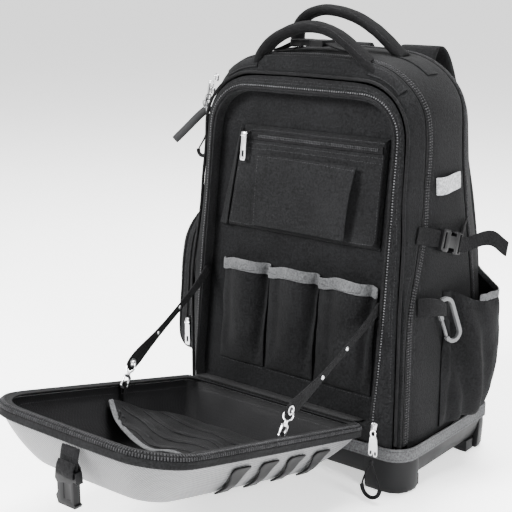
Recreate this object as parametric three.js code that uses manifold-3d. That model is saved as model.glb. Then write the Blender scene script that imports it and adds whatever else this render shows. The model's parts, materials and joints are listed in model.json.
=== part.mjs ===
// A tool backpack with a hard front pocket, hinged open. Millimetres, +Z up, the front faces -Y.
// Each sub-part is a closed solid in a mesh of its own. X = 0 is the bag's middle plane, Y = 0 the
// hinge line of the front opening, and the whole is moved at the end so that it stands on Z = 0.

import * as THREE from 'three';
import { mergeVertices } from 'three/addons/utils/BufferGeometryUtils.js';
import Module from 'manifold-3d';

const wasm = await Module();
wasm.setup();

// Clearance between neighbours, and the thickness of each kind of wall
const GAP = 0.3;
const CLOTH = 2.5;
const PADDED = 6;
const THIN_CLOTH = 1.6;
const BINDING = 1.4;
const WEBBING = 1.8;
const ZIP_THICK = 2.2;

// Body
const BODY_HALF = 167;
const BODY_HEIGHT = 500;
const BODY_DEPTH = 205;
const FOOT_Z = 52;
const PIPING_R = 2;
const MID_ZIP_HALF = 6;
const REAR_ZIP_HALF = 4;
const BACK_PAD = 10;

// Front opening and the panel behind it
const HINGE_Z = 87;
const LEAN = THREE.MathUtils.degToRad(6.6);
const OPENING_HALF = 133;
const OPENING_HEIGHT = 368;
const OPENING_CORNER = 45;
const OPENING_TAPER = 0.013;
const PANEL_RECESS = 16;
const PANEL_THICK = 4;

// Moulded base and its grey binding
const BASE_FRONT = 18;
const BASE_BACK = 221;
const BASE_CORNER = 28;
const BASE_REAR_CORNER = 14;
const BASE_BOTTOM = 14;
const BASE_WALL = 3;
const TRIM_LOW = 42;
const TRIM_HIGH = 58;
const TRIM_THICK = 2.2;
const FOOT_LENGTH = 48;
const FOOT_WIDTH = 34;
const FOOT_CHAMFER = 18;

// Hard front pocket
const TRAY_RISE = THREE.MathUtils.degToRad(12.6);
const TRAY_LENGTH = 354;
const TRAY_NEAR = 7;
const TRAY_DEPTH = 62;
const TRAY_CORNER = 60;
const TRAY_NEAR_CORNER = 14;
const TRAY_DRAFT = 46;
const SHELL = 2.5;
const LINING = 1.5;
const RIM_HEIGHT = 12;
const RIM_WIDTH = 11;
const RIM_THICK = 1.8;

// Steps of the arched outlines and of the rounded rectangles
const SIDE_STEPS = 7;
const CORNER_STEPS = 5;
const TOP_STEPS = 3;
const FLOOR_STEPS = 4;
const ARC_STEPS = 5;

const rad = THREE.MathUtils.degToRad;
const point = (x, y, z) => new THREE.Vector3(x, y, z);
const lerp = THREE.MathUtils.lerp;

// Materials, by the finish that each piece has
const finishes = {
  nylon: [0x27282a, 0.85, 0],
  panel: [0x222325, 0.85, 0],
  lining: [0x1c1c1e, 0.9, 0],
  webbing: [0x1b1b1c, 0.8, 0],
  binding: [0x868788, 0.85, 0],
  zip: [0x1a1a1b, 0.6, 0],
  shell: [0xb9babb, 0.45, 0.1],
  base: [0x3a3b3d, 0.45, 0],
  buckle: [0x2c2d2f, 0.5, 0],
  steel: [0xc9cacc, 0.25, 1],
  clip: [0x8f9092, 0.4, 0.2],
  reflective: [0xc4c5c8, 0.35, 0.3],
};

const bag = new THREE.Group();

// Adds a mesh with its own material to a group
function add(group, name, geometry, finish) {
  const [color, roughness, metalness] = finishes[finish];
  const material = new THREE.MeshStandardMaterial({ color, roughness, metalness });
  const mesh = new THREE.Mesh(geometry, material);
  mesh.name = name;
  group.add(mesh);
  return mesh;
}

// A closed mesh from points and faces, turned so that its faces point out
function closed(points, faces) {
  let volume = 0;
  for (const [a, b, c] of faces) {
    volume += points[a].dot(points[b].clone().cross(points[c]));
  }
  const index = faces.flatMap(([a, b, c]) => (volume > 0 ? [a, b, c] : [a, c, b]));
  const geometry = new THREE.BufferGeometry().setFromPoints(points);
  geometry.setIndex(index);
  return geometry;
}

// A wall: rows of points thickened by front and back along their own normals.
// ring joins each row's last point to its first.
function wall(rows, front, back, ring = false) {
  const count = rows[0].length;
  const last = rows.length - 1;
  const outer = [];
  const inner = [];
  rows.forEach((row, r) => row.forEach((p, c) => {
    const next = ring ? row[(c + 1) % count] : row[Math.min(c + 1, count - 1)];
    const before = ring ? row[(c + count - 1) % count] : row[Math.max(c - 1, 0)];
    const across = next.clone().sub(before);
    const along = rows[Math.min(r + 1, last)][c].clone().sub(rows[Math.max(r - 1, 0)][c]);
    const normal = across.cross(along).normalize();
    outer.push(p.clone().addScaledVector(normal, front));
    inner.push(p.clone().addScaledVector(normal, -back));
  }));
  const faces = [];
  const quad = (a, b, c, d) => faces.push([a, b, c], [a, c, d]);
  const shift = outer.length;
  const spans = ring ? count : count - 1;
  for (let r = 0; r < last; r += 1) {
    for (let c = 0; c < spans; c += 1) {
      const a = r * count + c;
      const b = r * count + (c + 1) % count;
      quad(a, b, b + count, a + count);
      quad(shift + a, shift + a + count, shift + b + count, shift + b);
    }
  }
  for (let c = 0; c < spans; c += 1) {
    const b = (c + 1) % count;
    const top = last * count;
    quad(c, shift + c, shift + b, b);
    quad(top + c, top + b, shift + top + b, shift + top + c);
  }
  if (!ring) {
    for (let r = 0; r < last; r += 1) {
      const a = r * count;
      const z = a + count - 1;
      quad(a, a + count, shift + a + count, shift + a);
      quad(z, shift + z, shift + z + count, z + count);
    }
  }
  return closed([...outer, ...inner], faces);
}

// A cup: loops from the rim to the floor outside, and the same inside. Each floor is a fan.
function cup(outside, inside) {
  const loops = [...outside, ...[...inside].reverse()];
  const count = loops[0].length;
  const points = loops.flat();
  const faces = [];
  for (let r = 0; r < loops.length; r += 1) {
    const s = (r + 1) % loops.length;
    if (r === outside.length - 1) continue;
    for (let c = 0; c < count; c += 1) {
      const d = (c + 1) % count;
      faces.push([r * count + c, r * count + d, s * count + d]);
      faces.push([r * count + c, s * count + d, s * count + c]);
    }
  }
  for (const [row, turn] of [[outside.length - 1, 1], [outside.length, -1]]) {
    const middle = new THREE.Vector3();
    loops[row].forEach((p) => middle.addScaledVector(p, 1 / count));
    points.push(middle);
    for (let c = 0; c < count; c += 1) {
      const a = row * count + c;
      const b = row * count + (c + 1) % count;
      faces.push(turn > 0 ? [a, b, points.length - 1] : [b, a, points.length - 1]);
    }
  }
  return closed(points, faces);
}

// A solid lofted through loops, with a fan at each end
function loft(loops) {
  const count = loops[0].length;
  const points = loops.flat();
  const faces = [];
  for (let r = 0; r < loops.length - 1; r += 1) {
    for (let c = 0; c < count; c += 1) {
      const a = r * count + c;
      const b = r * count + (c + 1) % count;
      faces.push([a, b, b + count], [a, b + count, a + count]);
    }
  }
  [0, loops.length - 1].forEach((row) => {
    const middle = new THREE.Vector3();
    loops[row].forEach((p) => middle.addScaledVector(p, 1 / count));
    points.push(middle);
    for (let c = 0; c < count; c += 1) {
      const a = row * count + c;
      const b = row * count + (c + 1) % count;
      faces.push(row ? [a, b, points.length - 1] : [b, a, points.length - 1]);
    }
  });
  return closed(points, faces);
}

// A plate cut from an outline of [x, y] pairs, with holes, its middle plane at z = 0
function plate(outline, thick, holes = []) {
  const around = outline.map(([x, y]) => new THREE.Vector2(x, y));
  const shape = new THREE.Shape(THREE.ShapeUtils.isClockWise(around) ? around.reverse() : around);
  holes.forEach((hole) => shape.holes.push(new THREE.Path(hole.map(([x, y]) => new THREE.Vector2(x, y)))));
  const geometry = new THREE.ExtrudeGeometry(shape, { depth: thick, bevelEnabled: false });
  return bare(geometry.translate(0, 0, -thick / 2));
}

// A tube of an elliptical section along a curve
function tube(points, halfWide, halfThick, sides, steps) {
  const shape = new THREE.Shape();
  for (let i = 0; i < sides; i += 1) {
    const a = (i / sides) * Math.PI * 2;
    const move = i ? 'lineTo' : 'moveTo';
    shape[move](halfThick * Math.cos(a), halfWide * Math.sin(a));
  }
  const extrudePath = new THREE.CatmullRomCurve3(points, false, 'centripetal');
  return bare(new THREE.ExtrudeGeometry(shape, { steps, bevelEnabled: false, extrudePath }));
}

// Only the positions, with shared corners merged
function bare(geometry) {
  geometry.deleteAttribute('normal');
  geometry.deleteAttribute('uv');
  return mergeVertices(geometry, 1e-4);
}

// Joins and cuts closed meshes
function toSolid(geometry) {
  const merged = mergeVertices(geometry, 1e-4);
  const vertProperties = new Float32Array(merged.attributes.position.array);
  const triVerts = new Uint32Array(merged.index.array);
  return new wasm.Manifold(new wasm.Mesh({ numProp: 3, vertProperties, triVerts }));
}

function fromSolid(solid) {
  const mesh = solid.getMesh();
  const geometry = new THREE.BufferGeometry();
  geometry.setAttribute('position', new THREE.BufferAttribute(new Float32Array(mesh.vertProperties), 3));
  geometry.setIndex(new THREE.BufferAttribute(new Uint32Array(mesh.triVerts), 1));
  return geometry;
}

const join = (...parts) => fromSolid(parts.map(toSolid).reduce((a, b) => a.add(b)));
const cut = (first, ...rest) => fromSolid(rest.map(toSolid).reduce(
  (a, b) => a.subtract(b), toSolid(first),
));

function block(sizeX, sizeY, sizeZ, x, y, z) {
  return bare(new THREE.BoxGeometry(sizeX, sizeY, sizeZ).translate(x, y, z));
}

// An arch of [x, z] pairs: left foot, over the top, right foot
function arch(foot, top, corner, halfAt, crown, level = foot) {
  const right = [];
  const spring = top - corner;
  const half = halfAt(spring);
  for (let i = 0; i < SIDE_STEPS; i += 1) {
    const z = i ? lerp(level, spring, i / SIDE_STEPS) : foot;
    right.push([halfAt(z), z]);
  }
  for (let i = 0; i < CORNER_STEPS; i += 1) {
    const a = (i / CORNER_STEPS) * Math.PI / 2;
    right.push([half - corner + corner * Math.cos(a), spring + corner * Math.sin(a)]);
  }
  for (let i = 0; i <= TOP_STEPS; i += 1) {
    right.push([(half - corner) * (1 - i / TOP_STEPS), top]);
  }
  const bent = right.map(([x, z]) => {
    const rise = THREE.MathUtils.clamp((z - spring) / corner, 0, 1);
    return [x, z - crown * rise * (x / half) ** 2];
  });
  const left = bent.slice(0, -1).map(([x, z]) => [-x, z]);
  return [...left, ...bent.reverse()];
}

// A rounded rectangle of [x, y] pairs between two y values, with a corner radius at each end
function roundedLoop(half, yFront, yBack, frontCorner, backCorner) {
  const corners = [
    [half - backCorner, yBack - backCorner, backCorner, 0],
    [-half + backCorner, yBack - backCorner, backCorner, 90],
    [-half + frontCorner, yFront + frontCorner, frontCorner, 180],
    [half - frontCorner, yFront + frontCorner, frontCorner, 270],
  ];
  return corners.flatMap(([x, y, radius, start]) => Array.from({ length: ARC_STEPS + 1 }, (_, i) => {
    const a = rad(start + (90 * i) / ARC_STEPS);
    return [x + radius * Math.cos(a), y + radius * Math.sin(a)];
  }));
}

// Seam lines round the body. foot and shoulder are shares of BODY_HALF; top, corner and crown of
// BODY_HEIGHT; depth holds shares of BODY_DEPTH at the heights named in DEPTH_AT.
const DEPTH_AT = [0.1, 0.4, 0.65, 0.8, 1];
const seams = {
  piping: {
    foot: 0.93, shoulder: 0.875, top: 0.95, corner: 0.13, crown: 0.006, depth: [
      0.1, 0.1, 0.168, 0.2, 0.245,
    ],
  },
  mid: {
    foot: 0.962, shoulder: 0.905, top: 0.994, corner: 0.14, crown: 0.024,
    depth: [0.163, 0.163, 0.352, 0.393, 0.341],
  },
  flank: {
    foot: 1, shoulder: 0.918, top: 1.002, corner: 0.14, crown: 0.028, depth: [0.28, 0.3, 0.5, 0.54, 0.54],
  },
  rear: {
    foot: 0.985, shoulder: 0.9, top: 1.004, corner: 0.14, crown: 0.03, depth: [0.9, 0.87, 0.82, 0.79, 0.78],
  },
  back: {
    foot: 0.93, shoulder: 0.8, top: 0.985, corner: 0.14, crown: 0.03, depth: [1.065, 1.05, 1.02, 1, 0.96],
  },
};

// The body's half width narrows smoothly between waist and shoulder
function halfWidth(seam, z, grow) {
  const share = THREE.MathUtils.smoothstep(z, BODY_HEIGHT * 0.38, BODY_HEIGHT * 0.78);
  return BODY_HALF * lerp(seam.foot, seam.shoulder, share) + grow;
}

function seamDepth(seam, z) {
  const height = THREE.MathUtils.clamp(z / BODY_HEIGHT, DEPTH_AT[0], 1);
  let i = 0;
  while (i < DEPTH_AT.length - 2 && height > DEPTH_AT[i + 1]) i += 1;
  const share = THREE.MathUtils.smoothstep(height, DEPTH_AT[i], DEPTH_AT[i + 1]);
  return BODY_DEPTH * lerp(seam.depth[i], seam.depth[i + 1], share);
}

// Points along a seam: grow moves it out from the body, shift moves it back
function seamLine(name, grow = 0, shift = 0, foot = FOOT_Z) {
  const seam = seams[name];
  const corner = BODY_HEIGHT * seam.corner + grow;
  const crown = BODY_HEIGHT * seam.crown;
  const outline = arch(
    foot, BODY_HEIGHT * seam.top + grow, corner, (z) => halfWidth(seam, z, grow), crown, FOOT_Z,
  );
  return outline.map(([x, z]) => point(x, seamDepth(seam, z) + shift, z));
}

// The floor side of a closed loop, from right to left, at height z
function floorLine(half, y, z) {
  return Array.from({ length: FLOOR_STEPS - 1 }, (_, i) => {
    const share = 1 - (2 * (i + 1)) / FLOOR_STEPS;
    return point(half * share, y, z);
  });
}

// The opening in its leaning plane; back is the distance behind that plane
const leanPoint = (x, back, up) => point(
  x,
  up * Math.sin(LEAN) + back * Math.cos(LEAN),
  HINGE_Z + up * Math.cos(LEAN) - back * Math.sin(LEAN),
);
const openingHalf = (up) => OPENING_HALF - OPENING_TAPER * up;

function openingLoop(grow, back) {
  const outline = arch(
    -grow, OPENING_HEIGHT + grow, OPENING_CORNER + grow, (up) => openingHalf(up) + grow, 0,
  );
  const loop = outline.map(([x, up]) => leanPoint(x, back, up));
  const floor = Array.from({ length: FLOOR_STEPS - 1 }, (_, i) => {
    const share = 1 - (2 * (i + 1)) / FLOOR_STEPS;
    return leanPoint((OPENING_HALF + grow) * share, back, -grow);
  });
  return [...loop, ...floor];
}

// Cloth frame round the opening: rim wall, zip edge, padded bulge, outer edge at the piping
function frontBand() {
  const inset = -(CLOTH + 3 * GAP);
  const outer = [
    ...seamLine('piping', inset),
    ...floorLine(BODY_HALF * seams.piping.foot, BASE_FRONT + PADDED / 2, FOOT_Z),
  ];
  const edge = openingLoop(0, 0);
  const middle = edge.map((p, i) => {
    const bulge = p.clone().lerp(outer[i], 0.5);
    return bulge.add(point(0, -PADDED / 3, 0));
  });
  return wall([openingLoop(0.4, PANEL_RECESS - GAP), edge, middle, outer], 0.4, PADDED - 2, true);
}

function bodyWalls() {
  const startGap = PIPING_R + 2 * GAP;
  const zipGap = MID_ZIP_HALF + GAP;
  const rearGap = REAR_ZIP_HALF + GAP;
  add(bag, 'front_band', frontBand(), 'nylon');
  add(bag, 'front_gusset', wall([
    seamLine('piping', 0, startGap),
    seamLine('mid', 0, -zipGap - CLOTH - GAP),
    seamLine('mid', 0, -zipGap - GAP),
  ], 0, CLOTH), 'nylon');
  add(bag, 'main_gusset', wall([
    seamLine('mid', 0, zipGap),
    seamLine('mid', 0, zipGap + CLOTH),
    seamLine('flank'),
    seamLine('rear', 0, -rearGap),
  ], 0, CLOTH), 'nylon');
  const tubeFoot = TRIM_HIGH + PIPING_R + GAP;
  const piping = seamLine('piping', 0, 0, tubeFoot);
  add(bag, 'front_piping', tube(piping, PIPING_R, PIPING_R, 6, 42), 'webbing');
  add(bag, 'mid_zip', wall([
    seamLine('mid', 0.6, -MID_ZIP_HALF, TRIM_HIGH + GAP),
    seamLine('mid', 1.2, 0, TRIM_HIGH + GAP),
    seamLine('mid', 0.6, MID_ZIP_HALF, TRIM_HIGH + GAP),
  ], 0, ZIP_THICK), 'zip');
  add(bag, 'rear_zip', wall([
    seamLine('rear', 0.4, -REAR_ZIP_HALF, TRIM_HIGH + GAP),
    seamLine('rear', 0.8, 0, TRIM_HIGH + GAP),
    seamLine('rear', 0.4, REAR_ZIP_HALF, TRIM_HIGH + GAP),
  ], 0, ZIP_THICK), 'zip');
  add(bag, 'back_panel', backPanel(rearGap), 'nylon');
}

// Padded back: a rim that runs from the rear zip to the back plate
function backPanel(rearGap) {
  const ring = (name, grow, shift, foot = FOOT_Z) => {
    const line = seamLine(name, grow, shift, foot);
    const low = line[0];
    return [...line, ...floorLine(low.x * -1, low.y, foot)];
  };
  const inner = FOOT_Z + PADDED;
  const outside = [
    ring('rear', 0, rearGap), ring('back', 6, -12), ring('back', 0, -3), ring('back', -14, 0),
  ];
  const inside = [
    ring('rear', -CLOTH, rearGap, inner),
    ring('back', 2, -BACK_PAD - 5, inner),
    ring('back', -6, -BACK_PAD, inner),
    ring('back', -20, -BACK_PAD, inner),
  ];
  return cup(outside, inside);
}

// Moulded base: shares of the base's height and insets from its widest line, top to bottom
const baseSections = [
  { z: FOOT_Z - GAP, inset: TRIM_THICK + GAP },
  { z: TRIM_LOW - GAP, inset: TRIM_THICK + GAP },
  { z: TRIM_LOW - 1.5, inset: -0.5 },
  { z: 30, inset: 1.5 },
  { z: BASE_BOTTOM + 3, inset: 7 },
  { z: BASE_BOTTOM, inset: 11 },
];
const BASE_HALF = BODY_HALF + GAP + TRIM_THICK;

function baseLoop(inset, z) {
  const front = Math.max(BASE_CORNER - inset, 4);
  const rear = Math.max(BASE_REAR_CORNER - inset, 3);
  const loop = roundedLoop(
    BASE_HALF - inset, BASE_FRONT - GAP - TRIM_THICK + inset, BASE_BACK - inset, front, rear,
  );
  return loop.map(([x, y]) => point(x, y, z));
}

function base() {
  const outside = baseSections.map(({ z, inset }) => baseLoop(inset, z));
  const inside = baseSections.map(({ z, inset }) => baseLoop(
    inset + BASE_WALL, Math.max(z, BASE_BOTTOM + BASE_WALL),
  ));
  inside[baseSections.length - 2] = baseLoop(
    baseSections[4].inset + BASE_WALL, BASE_BOTTOM + BASE_WALL + 2,
  );
  const feet = [-1, 1].flatMap((side) => [BASE_FRONT + 9, BASE_BACK - 9].map((y, rear) => {
    const turn = rear ? -1 : 1;
    const outline = [
      [0, 0], [0, FOOT_WIDTH], [-(FOOT_LENGTH - FOOT_CHAMFER) / 3, FOOT_WIDTH],
      [-FOOT_LENGTH, FOOT_WIDTH * 0.7], [-FOOT_LENGTH, 0],
    ];
    const chamfered = [[-FOOT_CHAMFER, 0], [0, FOOT_CHAMFER], ...outline.slice(1)];
    const loopAt = (z, inset) => chamfered.map(([x, dy]) => {
      const mx = -FOOT_LENGTH / 2;
      const my = FOOT_WIDTH / 2;
      const sx = mx + (x - mx) * (1 - inset / FOOT_LENGTH);
      const sy = my + (dy - my) * (1 - inset / FOOT_WIDTH);
      return point(side * (BASE_HALF - 4.5 + sx), y + turn * sy, z);
    });
    return loft([loopAt(0, 3), loopAt(2, 0), loopAt(BASE_BOTTOM + 1.5, 0)]);
  }));
  add(bag, 'moulded_base', join(cup(outside, inside), ...feet), 'base');
  const ringRows = [TRIM_LOW, (TRIM_HIGH + TRIM_LOW) / 2, TRIM_HIGH].map((z) => baseLoop(-3 * GAP, z));
  add(bag, 'base_trim', wall(ringRows, TRIM_THICK, 0, true), 'binding');
}

// Flat panel behind the opening
function toolPanel() {
  const shrink = 3;
  const loops = [PANEL_RECESS, PANEL_RECESS + PANEL_THICK].map((back) => openingLoop(shrink, back));
  add(bag, 'tool_panel', loft(loops), 'panel');
}

// The open front pocket, in a frame of its own: x across, -y along it from the hinge, z above its rim
const tray = new THREE.Group();
tray.position.z = HINGE_Z;
tray.rotation.x = -TRAY_RISE;
bag.add(tray);

const trayPoint = (x, along, rise) => point(
  x,
  -along * Math.cos(TRAY_RISE) + rise * Math.sin(TRAY_RISE),
  HINGE_Z + along * Math.sin(TRAY_RISE) + rise * Math.cos(TRAY_RISE),
);

// Sections of the shell from rim to floor: shares of TRAY_DEPTH and of TRAY_DRAFT
const shellSections = [
  { depth: 0.05, draft: 0.05 },
  { depth: 0.21, draft: 0.07 },
  { depth: 0.62, draft: 0.46 },
  { depth: 0.86, draft: 0.78 },
  { depth: 0.96, draft: 0.95 },
  { depth: 1, draft: 1.15 },
];

function trayLoop(inset, rise) {
  const front = Math.max(TRAY_CORNER - 0.6 * inset, 8);
  const near = TRAY_NEAR_CORNER + 0.1 * inset;
  const loop = roundedLoop(OPENING_HALF - inset, -TRAY_LENGTH + inset, -TRAY_NEAR - inset, front, near);
  return loop.map(([x, y]) => point(x, y, rise));
}

// Inset of the shell's outer face at a depth below the rim
function shellInset(depth) {
  const share = THREE.MathUtils.clamp(depth / TRAY_DEPTH, shellSections[0].depth, 1);
  let i = 0;
  while (i < shellSections.length - 2 && share > shellSections[i + 1].depth) i += 1;
  const [a, b] = [shellSections[i], shellSections[i + 1]];
  return TRAY_DRAFT * lerp(a.draft, b.draft, (share - a.depth) / (b.depth - a.depth));
}

// A layer of the tray between two distances from the shell's outer face
function trayCup(from, to) {
  const layer = (distance) => shellSections.map(({ depth, draft }) => trayLoop(
    TRAY_DRAFT * draft + distance * 1.15,
    -TRAY_DEPTH * depth + distance * THREE.MathUtils.smoothstep(depth, 0.1, 1),
  ));
  return cup(layer(from), layer(to));
}

const LINING_FROM = SHELL + 2 * GAP;
const LINING_TO = LINING_FROM + LINING;

// Straps that hold the pocket open, with the loops that their hooks hold
const STRAP_TOP_X = 129.4;
const STRAP_END_X = 116.5;
const STRAP_THICK = 1.6;
const EYE_HOLE_R = 4;
const HOOK_LENGTH = 31;
const HOOK_THICK = 2.4;
const EYE = { y: -130, z: 144 };
const LOOP_ALONG = 150;
const LOOP_WIDTH = 3;
const LOOP_WALL = 1.2;

// y, z and half width of the strap from the bag to its lower end
const holdStrap = [
  { y: 22, z: 225, half: 7 },
  { y: -4, z: 207, half: 5 },
  { y: -38, z: 189, half: 4 },
  { y: -80, z: 167, half: 4.2 },
  { y: -112, z: 152.5, half: 8.5 },
  { y: -130, z: 144, half: 9.5 },
  { y: -138, z: 140.2, half: 5 },
];

// A strip of webbing through points; wide gives the direction across it
function strip(points, wide, halfWidths, thick) {
  const rows = points.map((p, i) => {
    const half = Array.isArray(halfWidths) ? halfWidths[i] : halfWidths;
    const across = Array.isArray(wide) ? wide[i] : wide;
    return [p.clone().addScaledVector(across, -half), p.clone().addScaledVector(across, half)];
  });
  return wall(rows, thick / 2, thick / 2);
}

function holdStraps(side, label) {
  const last = holdStrap.length - 1;
  const points = holdStrap.map(({ y, z }, i) => point(
    side * lerp(STRAP_TOP_X, STRAP_END_X, Math.min(1, i / (last - 1))), y, z,
  ));
  const wide = holdStrap.map((_, i) => {
    const before = holdStrap[Math.max(i - 1, 0)];
    const next = holdStrap[Math.min(i + 1, last)];
    return point(0, next.z - before.z, before.y - next.y).normalize();
  });
  const band = strip(points, wide, holdStrap.map(({ half }) => half), STRAP_THICK);
  const hole = new THREE.CylinderGeometry(EYE_HOLE_R, EYE_HOLE_R, 12, 10).rotateZ(Math.PI / 2);
  hole.translate(side * STRAP_END_X, EYE.y, EYE.z);
  add(bag, `hold_strap_${label}`, cut(band, bare(hole)), 'webbing');
}

// A snap hook in its own frame: its ring passes through the strap's eye at the origin, it hangs
// down along -Y, and its plate lies in the XY plane
const HOOK_HALF = 5.2;
const HOOK_WIRE = 2;
const GATE_TOP = -18;
const GATE_LOW = -27.6;

function hookBody() {
  const ringR = 6;
  const profile = Array.from({ length: 6 }, (_, i) => {
    const a = (i / 5) * Math.PI * 2;
    return new THREE.Vector2(ringR + 1.1 * Math.cos(a), 1.1 * Math.sin(a));
  });
  const ring = bare(new THREE.LatheGeometry(profile, 12).rotateZ(Math.PI / 2).translate(0, -ringR, 0));
  const boss = bare(new THREE.CylinderGeometry(2.2, 2.2, 3.4, 10).translate(0, -13.6, 0));
  const low = -HOOK_LENGTH - HOOK_WIRE / 2;
  const outer = HOOK_HALF + HOOK_WIRE / 2;
  const inner = HOOK_HALF - HOOK_WIRE / 2;
  const outline = [
    [-2.2, -14.8], [-outer, -16.6], [-outer, GATE_TOP + 1.2], [-inner, GATE_TOP + 1.2], [-inner + 1, -18.4],
    [inner - 1, -18.4], [inner, -20], [inner, -HOOK_LENGTH + 2.6], [inner - 2, low + HOOK_WIRE],
    [-inner + 2, low + HOOK_WIRE], [-inner, -HOOK_LENGTH + 2.6], [-inner, GATE_LOW - 0.4],
    [-outer, GATE_LOW - 0.4],
    [-outer, -HOOK_LENGTH + 2], [-outer + 3, low], [outer - 3, low], [outer, -HOOK_LENGTH + 2],
    [outer, -17], [2.2, -14.8],
  ];
  return join(ring, boss, plate(outline, HOOK_THICK));
}

function hookGate() {
  const half = 0.8;
  return plate([
    [-HOOK_HALF - half, GATE_TOP + 0.6], [-HOOK_HALF + half, GATE_TOP + 0.6],
    [-HOOK_HALF + half, GATE_LOW], [-HOOK_HALF - half, GATE_LOW],
  ], HOOK_THICK - 0.4);
}

function snapHook(side, label) {
  const target = trayPoint(0, LOOP_ALONG, -2);
  const down = point(0, target.y - EYE.y, target.z - EYE.z).normalize();
  const up = down.clone().negate();
  const sideways = point(1, 0, 0);
  const across = up.clone().cross(sideways);
  const frame = new THREE.Group();
  const basis = new THREE.Matrix4().makeBasis(across, up, sideways);
  frame.applyMatrix4(basis.setPosition(side * STRAP_END_X, EYE.y, EYE.z));
  bag.add(frame);
  add(frame, `snap_hook_${label}`, hookBody(), 'steel');
  add(frame, `snap_gate_${label}`, hookGate(), 'steel');
}

// A sewn loop on the lining's side wall, open along the tray
function liningLoop(side) {
  const x = side * STRAP_END_X;
  const hole = HOOK_THICK / 2 + 0.4;
  const out = hole + LOOP_WALL;
  const outline = [[-out, -26], [out, -26], [out, 3.6], [out - 1.2, 5], [-out + 1.2, 5], [-out, 3.6]];
  const opening = [[-hole, -9], [hole, -9], [hole, 3.4], [-hole, 3.4]];
  const loop = plate(outline, LOOP_WIDTH, [opening]).rotateX(Math.PI / 2);
  return loop.translate(x, -LOOP_ALONG + 1.8, 0);
}

// The pocket's free edge as shares of the half width and of TRAY_LENGTH; height as a share of TRAY_DEPTH
const pocketEdge = [
  { across: -1, along: 0.466, height: -0.26 },
  { across: -0.75, along: 0.53, height: -0.44 },
  { across: -0.4, along: 0.585, height: -0.55 },
  { across: 0, along: 0.607, height: -0.6 },
  { across: 0.4, along: 0.61, height: -0.55 },
  { across: 0.75, along: 0.6, height: -0.44 },
  { across: 1, along: 0.575, height: -0.26 },
];
const POCKET_NEAR_DEPTH = 0.7;
const POCKET_BINDING = 8;
const POCKET_CLEAR = LINING_TO * 1.3 + 6.3;

function trayPocket() {
  const place = (edge, share, extra) => {
    const rise = TRAY_DEPTH * lerp(-POCKET_NEAR_DEPTH, edge.height, share);
    const inset = shellInset(-rise) + POCKET_CLEAR;
    const start = TRAY_NEAR + shellInset(POCKET_NEAR_DEPTH * TRAY_DEPTH) + POCKET_CLEAR;
    const along = lerp(start, TRAY_LENGTH * edge.along, share) + extra;
    const corner = lerp(0.86, 1, Math.min(1, share / 0.35));
    return point(edge.across * corner * (OPENING_HALF - inset), -along, rise);
  };
  const rows = [0, 0.35, 0.7, 1].map((share) => pocketEdge.map((edge) => place(edge, share, 0)));
  add(tray, 'tray_pocket', wall(rows, THIN_CLOTH / 2, THIN_CLOTH / 2), 'lining');
  const edgeRows = [GAP, POCKET_BINDING].map((extra) => pocketEdge.map((edge) => place(edge, 1, extra)));
  add(tray, 'tray_pocket_binding', wall(edgeRows, THIN_CLOTH / 2, THIN_CLOTH / 2), 'binding');
}

// Black tabs on the shell's right wall
const TAB_FIRST = 68;
const TAB_PITCH = 47.5;
const TAB_WIDTH = 20;
const TAB_THICK = 2.2;

function shellTab(i) {
  const rows = [0.34, 0.62, 0.86, 0.9].map((depth) => {
    const inset = shellInset(depth * TRAY_DEPTH);
    const slant = (depth - 0.34) * -14;
    const along = TAB_FIRST + TAB_PITCH * i + slant;
    return [along, along + TAB_WIDTH].map((a) => point(OPENING_HALF - inset, -a, -depth * TRAY_DEPTH));
  });
  return wall(rows, 2 * GAP + TAB_THICK, -2 * GAP);
}

// Half buckle that hangs from the tray's free end
const TRAY_BUCKLE_X = 14;
const BUCKLE_HALF = 14;
const BUCKLE_HEIGHT = 38;
const BUCKLE_THICK = 9;
const TRAY_WEBBING_HALF = 12.5;

function trayBuckle() {
  const start = trayPoint(TRAY_BUCKLE_X, TRAY_LENGTH - 2.4, -RIM_HEIGHT - 2.2);
  const middle = point(TRAY_BUCKLE_X, start.y - 3, start.z - 10);
  const end = point(TRAY_BUCKLE_X, middle.y - 1.5, start.z - 22);
  add(
    bag, 'tray_buckle_strap', strip([start, middle, end], point(1, 0, 0), TRAY_WEBBING_HALF, WEBBING),
    'webbing',
  );
  const outline = [
    [-BUCKLE_HALF, 0], [BUCKLE_HALF, 0], [BUCKLE_HALF + 1.5, -12], [BUCKLE_HALF - 1.5, -16],
    [BUCKLE_HALF - 1.5, -26],
    [BUCKLE_HALF + 1, -30], [BUCKLE_HALF - 2, -BUCKLE_HEIGHT], [-BUCKLE_HALF + 2, -BUCKLE_HEIGHT],
    [-BUCKLE_HALF - 1, -30], [-BUCKLE_HALF + 1.5, -26], [-BUCKLE_HALF + 1.5, -16],
    [-BUCKLE_HALF - 1.5, -12],
  ];
  const body = plate(outline, BUCKLE_THICK).rotateX(Math.PI / 2).translate(end.x, end.y, end.z - GAP);
  const mouth = block(BUCKLE_HALF * 1.5, BUCKLE_THICK * 0.55, 24, end.x, end.y, end.z - BUCKLE_HEIGHT + 8);
  add(bag, 'tray_buckle', cut(body, mouth), 'buckle');
}

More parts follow.
